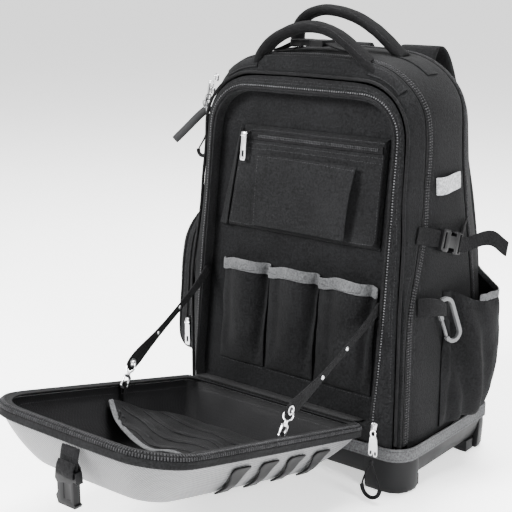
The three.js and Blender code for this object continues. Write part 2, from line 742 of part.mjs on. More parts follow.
function openTray() {
  const rim = [
    { inset: 0.6, rise: -RIM_HEIGHT },
    { inset: -0.6, rise: -5 },
    { inset: 0.6, rise: 0.6 },
    { inset: 4, rise: 2.2 },
    { inset: RIM_WIDTH, rise: 1.4 },
  ];
  add(tray, 'tray_shell', trayCup(0, SHELL), 'shell');
  add(
    tray, 'tray_rim', wall(rim.map(({ inset, rise }) => trayLoop(inset, rise)), 0, RIM_THICK, true), 'zip',
  );
  const lining = join(trayCup(LINING_FROM, LINING_TO), liningLoop(-1), liningLoop(1));
  const under = trayCup(SHELL + GAP, LINING_FROM);
  add(tray, 'tray_lining', cut(lining, under, trayCup(0, SHELL + GAP)), 'lining');
  trayPocket();
  for (let i = 0; i < 4; i += 1) add(tray, `shell_tab_${i + 1}`, shellTab(i), 'webbing');
  const strapHalf = OPENING_HALF - 15;
  const hinge = [
    [leanPoint(0, 12, 1.4), leanPoint(0, 1, 1.6)],
    [trayPoint(0, TRAY_NEAR + 1, 3.6), trayPoint(0, TRAY_NEAR + 10, 3.2)],
  ].flat();
  add(bag, 'hinge_strip', strip(hinge, point(1, 0, 0), strapHalf, THIN_CLOTH), 'lining');
  trayBuckle();
  [[-1, 'left'], [1, 'right']].forEach(([side, label]) => {
    holdStraps(side, label);
    snapHook(side, label);
  });
}

// The pieces on the panel, in its leaning frame: x across, y behind the opening's plane, z up it
const panel = new THREE.Group();
panel.position.z = HINGE_Z;
panel.rotation.x = -LEAN;
bag.add(panel);
const PANEL_FACE = PANEL_RECESS - GAP - THIN_CLOTH;

// Pull tab on a pin along X: a barrel at the origin and a plate that hangs down along -Z
const PULL_LENGTH = 31;
const PULL_WIDTH = 7;
const PULL_THICK = 1.4;
const PULL_BORE = 1.1;
const PIN_R = 0.7;
const EAR = 1.4;

function pullTab() {
  const half = PULL_WIDTH / 2;
  const outline = [
    [-half, -1], [half, -1], [half + 0.6, -PULL_LENGTH + 3], [half - 0.6, -PULL_LENGTH],
    [-half + 0.6, -PULL_LENGTH], [-half - 0.6, -PULL_LENGTH + 3],
  ];
  const slot = [
    [-1.8, -PULL_LENGTH + 4], [-1.7, -PULL_LENGTH + 12], [1.7, -PULL_LENGTH + 12.2],
    [1.8, -PULL_LENGTH + 4.2],
  ];
  const tab = plate(outline, PULL_THICK, [slot]).rotateX(Math.PI / 2);
  const ring = [];
  const hole = [];
  for (let i = 0; i < 10; i += 1) {
    const a = (i / 10) * Math.PI * 2;
    ring.push([2 * Math.cos(a), 2 * Math.sin(a)]);
    hole.push([PULL_BORE * Math.cos(a), PULL_BORE * Math.sin(a)]);
  }
  const barrel = plate(ring, PULL_WIDTH, [hole]).rotateY(Math.PI / 2);
  const bore = plate(hole, PULL_WIDTH * 2).rotateY(Math.PI / 2);
  return join(cut(tab, bore), barrel);
}

// The slider that carries it: a block behind the pin, two ears and the pin
function slider() {
  const reach = PULL_WIDTH / 2 + 0.5 + EAR / 2;
  const body = block(2 * reach + EAR, 3, 10, 0, 4.4, 0);
  const ears = [-1, 1].map((side) => block(EAR, 5, 3.4, side * reach, 1.2, 0));
  const pin = bare(new THREE.CylinderGeometry(PIN_R, PIN_R, 2 * reach, 8).rotateZ(Math.PI / 2));
  return join(body, ...ears, pin);
}

// Zip pocket: columns and rows hold shares of its width and height, lift shares of its thickness
const ZIP_POCKET = { left: -106, right: 117, low: 200, high: 327, narrowing: 14, thick: 8.5 };
const zipPocketColumns = [
  { share: 0, lift: 0 }, { share: 0.015, lift: 0.8 }, { share: 0.2, lift: 0.8 },
  { share: 0.212, lift: 1.1 },
  { share: 0.77, lift: 1.1 }, { share: 0.79, lift: 0.7 }, { share: 0.985, lift: 0.8 },
  { share: 1, lift: 0 },
];
const zipPocketRows = [
  { share: 0, lift: 0 }, { share: 0.03, lift: 0.8 }, { share: 0.1, lift: 1.1 }, { share: 0.71, lift: 1.1 },
  { share: 0.73, lift: 0.62 }, { share: 0.97, lift: 0.62 }, { share: 1, lift: 0 },
];
const PULL_X = -82;
const ZIP_UP = 314;
const ZIP_BAND_HALF = 4.5;

function zipPocket() {
  const rows = zipPocketRows.map((row) => zipPocketColumns.map((column) => {
    const left = ZIP_POCKET.left + ZIP_POCKET.narrowing * row.share;
    const lift = Math.min(row.lift, column.lift) * ZIP_POCKET.thick;
    return point(
      lerp(left, ZIP_POCKET.right, column.share), PANEL_FACE - lift,
      lerp(ZIP_POCKET.low, ZIP_POCKET.high, row.share),
    );
  }));
  add(panel, 'zip_pocket', wall(rows, 0, THIN_CLOTH), 'nylon');
  const face = PANEL_FACE - ZIP_POCKET.thick * 0.62 - GAP;
  const band = block(
    ZIP_POCKET.right - PULL_X - 6, 1.6, 2 * ZIP_BAND_HALF, (ZIP_POCKET.right + PULL_X) / 2 - 1, face - 0.8,
    ZIP_UP,
  );
  const pinBack = face - 1.6 - 5.7;
  const carrier = slider().translate(PULL_X, pinBack, ZIP_UP);
  add(panel, 'zip_pocket_zip', join(band, carrier), 'zip');
  const pull = add(panel, 'zip_pocket_pull', pullTab(), 'steel');
  pull.position.set(PULL_X, pinBack, ZIP_UP);
}

// Three open tool pockets: left and right edges in x, and the shape of the bulge across and up them
const toolPockets = [
  { left: -107, right: -37 },
  { left: -33.5, right: 37.5 },
  { left: 41, right: 121 },
];
const bulgeAcross = [0, 0.6, 0.86, 0.98, 1, 0.95, 0.72, 0.3, 0];
const bulgeUp = [
  { share: 0, lift: 0 }, { share: 0.04, lift: 0.35 }, { share: 0.35, lift: 0.62 },
  { share: 0.8, lift: 0.95 }, { share: 1, lift: 1 },
];
const TOOL_POCKET_LOW = 30;
const TOOL_POCKET_HIGH = 161;
const TOOL_POCKET_BULGE = 17;
const POCKET_EDGE = 13;

function toolPocketRow(pocket, up, lift) {
  const last = bulgeAcross.length - 1;
  return bulgeAcross.map((share, i) => {
    const place = 0.5 - 0.5 * Math.cos((i / last) * Math.PI);
    return point(
      lerp(pocket.left, pocket.right, lerp(i / last, place, 0.5)),
      PANEL_FACE - TOOL_POCKET_BULGE * share * lift, up,
    );
  });
}

function toolPocketPieces() {
  toolPockets.forEach((pocket, i) => {
    const rows = bulgeUp.map(({ share, lift }) => toolPocketRow(
      pocket, lerp(TOOL_POCKET_LOW, TOOL_POCKET_HIGH, share), lift,
    ));
    add(panel, `tool_pocket_${i + 1}`, wall(rows, 0, THIN_CLOTH), 'nylon');
  });
  const edge = (up) => toolPockets.flatMap((pocket) => toolPocketRow(pocket, up, 1));
  const rows = [edge(TOOL_POCKET_HIGH - POCKET_EDGE), edge(TOOL_POCKET_HIGH + 1)];
  add(panel, 'tool_pocket_binding', wall(rows, GAP * 1.5 + BINDING, -GAP * 1.5), 'binding');
}

// Where the bag's side wall lies at a depth and height
function sideX(y, z) {
  const stations = [
    'mid', 'flank', 'rear',
  ].map((name) => [seamDepth(seams[name], z), halfWidth(seams[name], z, 0)]);
  const i = y < stations[1][0] ? 0 : 1;
  const share = THREE.MathUtils.clamp((y - stations[i][0]) / (stations[i + 1][0] - stations[i][0]), 0, 1);
  return lerp(stations[i][1], stations[i + 1][1], share);
}

// Bottle pocket on the right: share along its mouth, how far it stands out, and its deep fold
const BOTTLE = { front: 99, back: 203, low: 62, high: 232, bulge: 36 };
const bottleAcross = [
  { share: 0, out: 0 }, { share: 0.06, out: 0.14 }, { share: 0.13, out: 0.06 }, { share: 0.24, out: 0.5 },
  { share: 0.4, out: 0.88 }, { share: 0.6, out: 1 }, { share: 0.78, out: 0.98 }, { share: 0.92, out: 0.7 },
  { share: 1, out: 0 },
];
const bottleUp = [
  { share: 0, out: 0.06 }, { share: 0.03, out: 0.5 }, { share: 0.25, out: 0.88 },
  { share: 0.55, out: 1.02 },
  { share: 0.8, out: 1 }, { share: 0.94, out: 0.95 }, { share: 1, out: 0.88 },
];
const MOUTH_SAG = 20;

function bottlePoint(across, up, extra) {
  const y = lerp(BOTTLE.front, BOTTLE.back, across.share);
  const high = BOTTLE.high - MOUTH_SAG * across.out + extra;
  const z = lerp(BOTTLE.low, high, up.share);
  return point(sideX(y, z) + GAP + THIN_CLOTH + BOTTLE.bulge * across.out * up.out, y, z);
}

function bottlePocket() {
  const rows = bottleUp.map((up) => bottleAcross.map((across) => bottlePoint(across, up, 0)).reverse());
  add(bag, 'bottle_pocket', wall([...rows].reverse(), 0, THIN_CLOTH), 'nylon');
  const rim = bottleAcross.slice(4);
  const top = bottleUp[bottleUp.length - 1];
  const edge = [GAP + 9, GAP].map((extra) => rim.map((across) => {
    const p = bottlePoint(across, top, 0);
    return p.setZ(p.z + extra);
  }).reverse());
  add(bag, 'bottle_pocket_trim', wall(edge, 0.6, THIN_CLOTH), 'binding');
}

// Webbing band on the right side; out is how far it stands off the side wall. Its end passes
// through the clip.
const sideBand = [
  { y: 47, out: 0.4, z: 223, half: 11 }, { y: 54, out: 4, z: 223, half: 11 },
  { y: 63, out: 7.5, z: 222, half: 11 },
  { y: 74, out: 9.4, z: 220, half: 10 }, { y: 82, out: 10.7, z: 216, half: 8.5 },
  { y: 88, out: 10.5, z: 213.5, half: 7.4 },
  { y: 91, out: 5.5, z: 213, half: 7.2 }, { y: 91.6, out: 1.3, z: 213, half: 7.2 },
];

// Carabiner in its own frame: XY is its plane, its long axis is Y, and its gate is on the -X side
const CLIP_HALF_LENGTH = 30;
const CLIP_HALF_WIDTH = 12;
const CLIP_WIRE = 4.4;
const CLIP_THICK = 4.6;
const CLIP_GATE = { low: -17, high: 5 };
const CLIP_PLACE = { out: 11, y: 95.5, z: 200 };
const CLIP_LEAN = rad(21);
const CLIP_TURN = rad(21);

function stadium(halfLength, halfWidth, steps) {
  const straight = halfLength - halfWidth;
  const points = [];
  for (let i = 0; i <= steps; i += 1) {
    const a = Math.PI - (i / steps) * Math.PI;
    points.push([halfWidth * Math.cos(a), straight + halfWidth * Math.sin(a)]);
  }
  for (let i = 0; i <= steps; i += 1) {
    const a = -(i / steps) * Math.PI;
    points.push([halfWidth * Math.cos(a), -straight + halfWidth * Math.sin(a)]);
  }
  return points;
}

function carabiner() {
  const outer = stadium(CLIP_HALF_LENGTH, CLIP_HALF_WIDTH, 8);
  const inner = stadium(CLIP_HALF_LENGTH - CLIP_WIRE, CLIP_HALF_WIDTH - CLIP_WIRE, 8);
  const start = [
    [-CLIP_HALF_WIDTH, CLIP_GATE.high + 0.5], [-CLIP_HALF_WIDTH + CLIP_WIRE, CLIP_GATE.high + 0.5],
  ];
  const end = [
    [-CLIP_HALF_WIDTH, CLIP_GATE.low - 0.9], [-CLIP_HALF_WIDTH + CLIP_WIRE, CLIP_GATE.low - 0.9],
  ];
  const outline = [start[0], ...outer, end[0], end[1], ...inner.reverse(), start[1]];
  const middle = -CLIP_HALF_WIDTH + CLIP_WIRE / 2;
  const gate = [
    [middle - 1.6, CLIP_GATE.low], [middle + 1.6, CLIP_GATE.low], [middle + 1.6, CLIP_GATE.high],
    [middle - 1.6, CLIP_GATE.high],
  ];
  const frame = new THREE.Group();
  const turn = point(Math.sin(CLIP_TURN), Math.cos(CLIP_TURN), 0);
  const outward = point(Math.cos(CLIP_TURN), -Math.sin(CLIP_TURN), 0);
  const basis = new THREE.Matrix4().makeBasis(turn, point(0, 0, 1), outward);
  basis.multiply(new THREE.Matrix4().makeRotationZ(CLIP_LEAN));
  const middleX = sideX(CLIP_PLACE.y, CLIP_PLACE.z) + CLIP_PLACE.out;
  frame.applyMatrix4(basis.setPosition(middleX, CLIP_PLACE.y, CLIP_PLACE.z));
  bag.add(frame);
  add(frame, 'carabiner', plate(outline, CLIP_THICK), 'clip');
  add(frame, 'carabiner_gate', plate(gate, CLIP_THICK - 1), 'clip');
}

// Side strap: points by depth and height, with out the distance from the side wall
const STRAP_HALF = 10;
const SIDE_BUCKLE = {
  length: 47, half: 13, thick: 8, front: { out: 9, y: 84, z: 297 }, rear: { out: 10, y: 130, z: 282 },
};

function sideStrap() {
  const at = ({ out, y, z }) => point(sideX(y, z) + out, y, z);
  const front = at(SIDE_BUCKLE.front);
  const along = at(SIDE_BUCKLE.rear).sub(front).normalize();
  const wide = point(0, 0.31, 0.95).addScaledVector(along, -along.dot(point(0, 0.31, 0.95))).normalize();
  const outward = along.clone().cross(wide);
  const local = (l, n) => front.clone().addScaledVector(along, l).addScaledVector(outward, n);
  const lead = [{ out: 1.3, y: 52, z: 305 }, { out: 3.4, y: 64, z: 303 }].map(at);
  add(bag, 'compression_strap', strip([...lead, local(-2 * GAP, 0)], wide, STRAP_HALF, WEBBING), 'webbing');
  const { length, half, thick } = SIDE_BUCKLE;
  const outline = [
    [0, -half + 2], [0, half - 2], [4, half], [14, half], [17, half - 3], [24, half - 3], [27, half],
    [length - 8, half],
    [length, half - 1], [length, -half + 1], [length - 8, -half], [27, -half], [24, -half + 3],
    [17, -half + 3], [14, -half], [4, -half],
  ];
  const slot = [
    [length - 8, -half + 2], [length - 8, half - 2], [length - 3, half - 2], [length - 3, -half + 2],
  ];
  const thin = block(20, 2 * half + 4, thick, length, 0, thick / 2 + 1.5);
  const thinUnder = block(20, 2 * half + 4, thick, length, 0, -thick / 2 - 1.5);
  const body = cut(plate(outline, thick, [slot]), thin, thinUnder);
  body.applyMatrix4(new THREE.Matrix4().makeBasis(along, wide, outward).setPosition(front));
  add(bag, 'compression_buckle', body, 'buckle');
  const bar = length - 5.6;
  const anchor = [{ out: 2.4, y: 160, z: 301 }, { out: 3, y: 150, z: 295 }].map(at);
  const turn = [
    [length + 4, -3.4], [length - 1, -3], [bar, -2.6], [bar - 0.4, 0], [bar, 2.6], [length - 1, 3],
    [length + 5, 4.5],
  ];
  const tail = [point(184, 158, 288), point(192, 170, 286), point(196, 179, 277), point(201, 187, 270)];
  const path = [...anchor, ...turn.map(([l, n]) => local(l, n)), ...tail];
  add(bag, 'compression_tail', strip(path, wide, STRAP_HALF - 1, WEBBING), 'webbing');
}

// Small bare tab above it
const TAB_LOW_Z = 345;
const TAB_HIGH_Z = 365;
const tabColumns = [
  { y: 92, out: 0 }, { y: 95, out: 4 }, { y: 103, out: 5.5 }, { y: 113, out: 4.6 }, { y: 124, out: 2.4 },
  { y: 150, out: 0.6 },
];

function sideBits() {
  const bandRows = [1, -1].map((side) => [...sideBand].reverse().map(({ y, out, z, half }) => (
    point(sideX(y, z) + out + GAP, y, z + side * half))));
  add(bag, 'side_band', wall(bandRows, WEBBING / 2, WEBBING / 2), 'webbing');
  carabiner();
  sideStrap();
  const tabRows = [
    TAB_HIGH_Z, TAB_LOW_Z,
  ].map((z) => [...tabColumns].reverse().map(({ y, out }) => point(sideX(y, z) + out + 2, y, z)));
  add(bag, 'reflective_tab', wall(tabRows, 0, BINDING), 'reflective');
}

// Left zip pocket: a box with soft corners that opens onto the side wall
const SIDE_POCKET = { low: 84, high: 286, corner: 40, out: 48, edge: 5 };
const SIDE_PULL_Z = 139;
const sidePocketSections = [
  { inset: 0, out: 0 }, { inset: 0.5, out: 0.45 }, { inset: 2, out: 0.72 }, { inset: 8, out: 0.92 },
  { inset: 22, out: 1 },
];

// The pocket's front and back edges follow the seams at their heights
const sidePocketFront = (z) => seamDepth(seams.mid, z) + MID_ZIP_HALF + SIDE_POCKET.edge;
const sidePocketBack = (z) => seamDepth(seams.rear, z) - REAR_ZIP_HALF - SIDE_POCKET.edge;

function sidePocketLoop(inset, out, thick) {
  const { low, high, corner } = SIDE_POCKET;
  const around = corner - inset * 0.5;
  const half = (sidePocketBack(low) - sidePocketFront(low)) / 2;
  const loop = roundedLoop(half, low + inset + thick, high - inset - thick, around, around);
  return loop.map(([across, z]) => {
    const [front, back] = [sidePocketFront(z) + inset + thick, sidePocketBack(z) - inset - thick];
    const y = lerp(front, back, 0.5 + across / (2 * half));
    const away = Math.max(out * SIDE_POCKET.out - (out > 0.3 ? thick : 0), 0);
    return point(-sideX(y, z) - 8 * GAP - away, y, z);
  });
}

function sidePocket() {
  const layer = (thick) => sidePocketSections.map(({ inset, out }) => sidePocketLoop(inset, out, thick));
  add(bag, 'side_zip_pocket', cup(layer(0), layer(CLOTH)), 'nylon');
  const rows = [0.2, 0.36].map((out) => sidePocketLoop(0.35 * out, out, 0));
  const zip = wall(rows, -GAP * 1.5, GAP * 1.5 + ZIP_THICK, true);
  const { low, high, corner } = SIDE_POCKET;
  const share = (SIDE_PULL_Z - low - corner) / (high - low - 2 * corner);
  const edgeY = lerp(sidePocketFront(low + corner), sidePocketFront(high - corner), share);
  const pinY = edgeY - ZIP_THICK - 5.7 - GAP;
  const x = -BODY_HALF - SIDE_POCKET.out * 0.28;
  const carrier = slider().translate(x, pinY, SIDE_PULL_Z);
  add(bag, 'side_pocket_zip', join(zip, carrier), 'zip');
  const pull = add(bag, 'side_pocket_pull', pullTab(), 'steel');
  pull.position.set(x, pinY, SIDE_PULL_Z);
}

// Handles: x of each padded tube's middle line and its rise above the body's height
const frontHandle = [
  [-80, -16], [-76, -4], [-62, 10], [-40, 22], [-8, 30], [28, 24], [56, 7], [78, -9], [90, -19],
];
const rearHandle = [
  [-66, 2], [-67, 21], [-58, 36], [-38, 45], [-18, 47], [18, 40], [50, 24], [74, 5], [88, -6],
];
const HANDLE_FRONT_Y = BODY_DEPTH * 0.322;
const HANDLE_REAR_Y = BODY_DEPTH * 0.605;
const HANDLE_HALF_WIDE = 11;
const HANDLE_HALF_THICK = 6;

// The room that the body's walls and zips take, with a clearance outside them
function bodySpace() {
  const zipGap = MID_ZIP_HALF + GAP;
  const rearGap = REAR_ZIP_HALF + GAP;
  const rows = [
    seamLine(
      'piping', 0.3, PIPING_R + GAP,
    ), seamLine('mid', 0.8, -zipGap - CLOTH), seamLine('mid', 1.4, -zipGap),
    seamLine('mid', 1.8), seamLine('mid', 1.4, zipGap), seamLine(
      'mid', 0.8, zipGap + CLOTH,
    ), seamLine('flank', 0.3),
    seamLine('rear', 0.3, -rearGap), seamLine('rear', 0.3, rearGap), seamLine('back', 6.4, -12),
  ];
  return wall(rows, GAP, 30);
}

function handles(space) {
  const make = (line, y) => {
    const middle = line.map(([x, rise]) => point(x, y, BODY_HEIGHT + rise));
    return tube(middle, HANDLE_HALF_THICK, HANDLE_HALF_WIDE, 10, 14);
  };
  add(bag, 'front_handle', cut(make(frontHandle, HANDLE_FRONT_Y), space), 'nylon');
  add(bag, 'rear_handle', cut(make(rearHandle, HANDLE_REAR_Y), space), 'nylon');
}

// Strap and buckle that lie between the handles
const TOP_STRAP_Y = BODY_DEPTH * 0.4537;
const TOP_BUCKLE = { left: -46, right: 2, half: 14, thick: 7, z: BODY_HEIGHT + 9 };

function topStrap(space) {
  const z = TOP_BUCKLE.z;
  const at = (x, back, rise) => point(x, TOP_STRAP_Y + back, BODY_HEIGHT + rise);
  const { left: l, right: r, half } = TOP_BUCKLE;
  const left = [at(-84, 0, -2.6), at(-66, 0, 0), point(l - 2 * GAP, TOP_STRAP_Y, z)];
  const right = [point(r + 2 * GAP, TOP_STRAP_Y, z), at(22, 2, 3), at(40, 4, 0.2)];
  const webs = [left, right].map((line) => strip(line, point(0, 1, 0), STRAP_HALF, WEBBING));
  const outline = [
    [l, -half + 2], [l, half - 2], [l + 5, half], [l + 17, half], [l + 20, half - 3], [l + 27, half - 3],
    [l + 30, half], [r, half - 1],
    [r, -half + 1], [l + 30, -half], [l + 27, -half + 3], [l + 20, -half + 3], [l + 17, -half],
    [l + 5, -half],
  ];
  const body = plate(outline, TOP_BUCKLE.thick).translate(0, TOP_STRAP_Y, z);
  add(bag, 'top_strap_left', cut(webs[0], space), 'webbing');
  add(bag, 'top_strap_right', cut(webs[1], space), 'webbing');
  add(bag, 'top_buckle', cut(body, space), 'buckle');
}

// Shoulder straps on the back, from the top to the lower end: distance from the middle, distance
// behind the body's depth, height as a share of the body's, half width and thickness
const shoulderStrap = [
  { x: 50, back: -0.7, rise: 0.9, half: 27, thick: 8 },
  { x: 50, back: 4, rise: 0.964, half: 27, thick: 9 },
  { x: 51, back: 19, rise: 1.008, half: 27, thick: 10 },
  { x: 54, back: 35, rise: 0.992, half: 28, thick: 11 },
  { x: 60, back: 47, rise: 0.9, half: 29, thick: 12 },
  { x: 74, back: 53, rise: 0.74, half: 30, thick: 12 },
  { x: 96, back: 51, rise: 0.56, half: 27, thick: 12 },
  { x: 118, back: 41, rise: 0.38, half: 20, thick: 8 },
  { x: 132, back: 31, rise: 0.26, half: 13, thick: 4 },
  { x: 140, back: 17, rise: 0.156, half: 12, thick: 3 },
];

function shoulderStraps() {
  const rows = shoulderStrap.map(({ x, back, rise, half }) => [-1, 0, 1].map((across) => (
    point(-x + across * half, BODY_DEPTH + back + (across ? 0 : 1.5), BODY_HEIGHT * rise))));
  const moved = (share) => rows.map((row, i) => (
    row.map((p) => p.clone().setY(p.y + share * shoulderStrap[i].thick))));
  const [outer, inner] = [moved(0.5), moved(-0.5)];
  const left = loft(rows.map((_, i) => [...outer[i], ...[...inner[i]].reverse()]));
  const right = left.clone().scale(-1, 1, 1);
  right.setIndex(Array.from(left.index.array).reverse());
  add(bag, 'shoulder_strap_left', left, 'nylon');
  add(bag, 'shoulder_strap_right', right, 'nylon');
}

// Sliders and pulls of the front zip and of the middle zip's left end
const FRONT_LOOP_Y = -11.4;
const frontLoop = [
  [143, 48], [136, 32], [132, 17], [136, 8], [145, 5], [154, 10], [156, 19], [150, 34], [144, 47.9],
];
const frontGrip = [[131.8, 19], [134, 10], [144, 4.8], [154, 9.6], [156.2, 18]];
// The upper slider's height as a share of the body's. Its tab, loop and rubber pull are placed from
// the slider: the loop and its grip by x and z at one depth, the others by x, y and z.
const UPPER_RISE = 0.906;
const UPPER_TAB_END = [-8.4, -14.8, -34];
const UPPER_LOOP_BACK = -16.8;
const upperLoop = [
  [-9.4, -36.2], [-14.9, -62], [-23.9, -77], [-29.9, -86], [-21.9, -92], [-13.9, -88], [-11.5, -74],
  [-13.9, -62], [-8.6, -36.6],
];
const upperGrip = [[-28.9, -83], [-28.9, -88.5], [-21.9, -92], [-14.9, -90]];
const rubberPull = [[-12.9, -10.3, -28], [-21.9, -16.8, -36], [-34.9, -27.8, -53], [-48.9, -39.8, -71]];
const CORD_R = 1.2;
const GRIP_R = 3;

function zipPulls() {
  const flat = (line, y) => line.map(([x, z]) => point(x, y, z));
  const tabs = [block(7, 1.4, 34, 139, -8, 68), block(7, 1.4, 30, 146, -8, 70)];
  add(bag, 'front_zip_slider', join(block(14, 7.7, 11, 140, -4.75, 89), ...tabs), 'steel');
  const cord = tube(flat(frontLoop, FRONT_LOOP_Y), CORD_R, CORD_R, 5, 15);
  const grip = tube(flat(frontGrip, FRONT_LOOP_Y), GRIP_R, GRIP_R, 6, 6);
  add(bag, 'front_pull_loop', join(cord, grip, block(4, 4, 6, 143.5, FRONT_LOOP_Y, 48.8)), 'webbing');
  upperPulls();
}

// The slider stands on the middle zip's left corner
function upperPulls() {
  const z = BODY_HEIGHT * UPPER_RISE;
  const corner = BODY_HEIGHT * seams.mid.corner;
  const turn = Math.asin((z - (BODY_HEIGHT * seams.mid.top - corner)) / corner);
  const x = -halfWidth(seams.mid, z, 0) + corner * (1 - Math.cos(turn));
  const slider = point(x, seamDepth(seams.mid, z), z);
  const from = ([dx, dy, dz]) => slider.clone().add(point(dx, dy, dz));
  const flat = (line) => line.map(([dx, dz]) => from([dx, UPPER_LOOP_BACK, dz]));
  const body = block(5, 11, 12, -2.3, 0, 0).rotateY(turn).translate(...slider.toArray());
  const tab = strip([from([-6, -4, 0]), from(UPPER_TAB_END)], point(0, 0.94, -0.34), 3.5, 1.4);
  add(bag, 'upper_zip_slider', join(body, tab), 'steel');
  const cord = tube(flat(upperLoop), CORD_R, CORD_R, 5, 15);
  const pad = tube(flat(upperGrip), GRIP_R, GRIP_R, 6, 5);
  add(bag, 'upper_pull_loop', join(cord, pad), 'webbing');
  add(bag, 'rubber_pull', tube(rubberPull.map(from), 5.5, 2.6, 8, 6), 'clip');
}

bodyWalls();
base();
toolPanel();
openTray();
zipPocket();
toolPocketPieces();
bottlePocket();
sideBits();
sidePocket();
const space = bodySpace();
handles(space);
topStrap(space);
shoulderStraps();
zipPulls();

const box = new THREE.Box3().setFromObject(bag, true);
bag.position.set(-(box.min.x + box.max.x) / 2, -(box.min.y + box.max.y) / 2, -box.min.z);

export default bag;
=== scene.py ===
"""Looks of a tool backpack whose hard front pocket hangs open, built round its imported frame."""

import json
import math

import bmesh
import bpy
import numpy
from mathutils import Matrix, Vector

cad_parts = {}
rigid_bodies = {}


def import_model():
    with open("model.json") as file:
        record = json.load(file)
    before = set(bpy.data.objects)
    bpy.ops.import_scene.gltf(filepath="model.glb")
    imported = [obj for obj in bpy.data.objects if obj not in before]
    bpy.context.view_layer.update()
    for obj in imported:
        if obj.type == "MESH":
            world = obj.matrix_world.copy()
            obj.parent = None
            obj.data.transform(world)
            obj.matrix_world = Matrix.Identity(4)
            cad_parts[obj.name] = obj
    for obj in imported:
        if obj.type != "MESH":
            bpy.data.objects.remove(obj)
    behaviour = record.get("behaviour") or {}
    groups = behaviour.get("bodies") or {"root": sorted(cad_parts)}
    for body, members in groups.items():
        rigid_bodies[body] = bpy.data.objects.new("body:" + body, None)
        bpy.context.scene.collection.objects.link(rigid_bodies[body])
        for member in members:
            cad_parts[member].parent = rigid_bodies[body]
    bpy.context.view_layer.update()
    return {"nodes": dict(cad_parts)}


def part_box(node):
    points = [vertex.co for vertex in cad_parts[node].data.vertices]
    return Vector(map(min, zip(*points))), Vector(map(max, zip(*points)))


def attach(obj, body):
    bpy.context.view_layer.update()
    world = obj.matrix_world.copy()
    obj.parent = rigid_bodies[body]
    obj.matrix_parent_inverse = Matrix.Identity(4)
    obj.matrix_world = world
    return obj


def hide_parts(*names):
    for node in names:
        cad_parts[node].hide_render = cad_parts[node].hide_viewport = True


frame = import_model()

# Camera. Lengths in this file are in millimetres in the bag's own frame, as in the part's source:
# x across from its middle plane, y back from the front pocket's hinge, z up from the floor.
BASE_BACK = 221.5
base_low, base_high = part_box("moulded_base")
bag_origin = Vector(((base_low[0] + base_high[0]) / 2, base_high[1] - BASE_BACK / 1000, 0))


def at(x, y, z):
    return bag_origin + Vector((x, y, z)) / 1000


bpy.ops.object.select_all(action="DESELECT")
bpy.ops.object.camera_add(location=at(783.9, -1024.1, 601.9))
camera = bpy.context.object
camera.rotation_euler = (math.radians(90 - 14.56), 0, math.radians(38.78))
camera.data.sensor_width = 36
camera.data.lens = 79.46
camera.data.shift_x = 0.0064
camera.data.clip_end = 120
bpy.context.scene.camera = camera

# Floor and studio light: a pale sheet, an even white surround, a broad key from the front left,
# a fill from the right and a strip above that catches the top edges.
bpy.ops.mesh.primitive_plane_add(size=80, location=(0, 0, 0))
floor = bpy.context.object
floor.name = "studio_floor"
floor_finish = bpy.data.materials.new("pale studio floor")
floor_finish.use_nodes = True
floor_shader = floor_finish.node_tree.nodes["Principled BSDF"]
floor_shader.inputs["Base Color"].default_value = (0.97, 0.97, 0.97, 1)
floor_shader.inputs["Roughness"].default_value = 0.9
floor_shader.inputs["Emission Color"].default_value = (1, 1, 1, 1)
floor_shader.inputs["Emission Strength"].default_value = 0.9
floor.data.materials.append(floor_finish)

world = bpy.data.worlds.new("studio surround")
bpy.context.scene.world = world
world.use_nodes = True
world.node_tree.nodes["Background"].inputs["Color"].default_value = (1, 1, 1, 1)
world.node_tree.nodes["Background"].inputs["Strength"].default_value = 0.75


def soft_light(name, place, size, energy):
    bpy.ops.object.light_add(type="AREA", location=place)
    lamp = bpy.context.object
    lamp.name = name
    lamp.data.size = size
    lamp.data.energy = energy
    aim = at(0, 0, 230) - lamp.location
    lamp.rotation_euler = aim.to_track_quat("-Z", "Y").to_euler()


soft_light("key light", at(-1100, -1900, 1700), 1.0, 260)
soft_light("fill light", at(2000, -500, 900), 0.8, 85)
soft_light("top light", at(100, 500, 2100), 1.1, 150)

# Body walls: woven nylon over foam, sewn from a front frame, a front gusset, a deep main gusset
# and a padded back. The cloth is black with a fine basket weave and soft patches of wear.
TAU = 2 * math.pi


def shader_of(name):
    material = bpy.data.materials.new(name)
    material.use_nodes = True
    nodes = material.node_tree.nodes
    return material, nodes, material.node_tree.links, nodes["Principled BSDF"]


def object_place(nodes, links, scale):
    coords = nodes.new("ShaderNodeTexCoord")
    grow = nodes.new("ShaderNodeVectorMath")
    grow.operation = "MULTIPLY"
    grow.inputs[1].default_value = scale
    links.new(coords.outputs["Object"], grow.inputs[0])
    return coords.outputs["Object"], grow.outputs["Vector"]


def calculate(nodes, links, operation, first, second=None):
    node = nodes.new("ShaderNodeMath")
    node.operation = operation
    for socket, value in zip(node.inputs, (first, second)):
        if isinstance(value, (int, float)):
            socket.default_value = value
        elif value is not None:
            links.new(value, socket)
    return node.outputs["Value"]


def noise_at(nodes, links, place, scale, detail):
    noise = nodes.new("ShaderNodeTexNoise")
    noise.inputs["Scale"].default_value = scale
    noise.inputs["Detail"].default_value = detail
    links.new(place, noise.inputs["Vector"])
    return noise.outputs["Fac"]


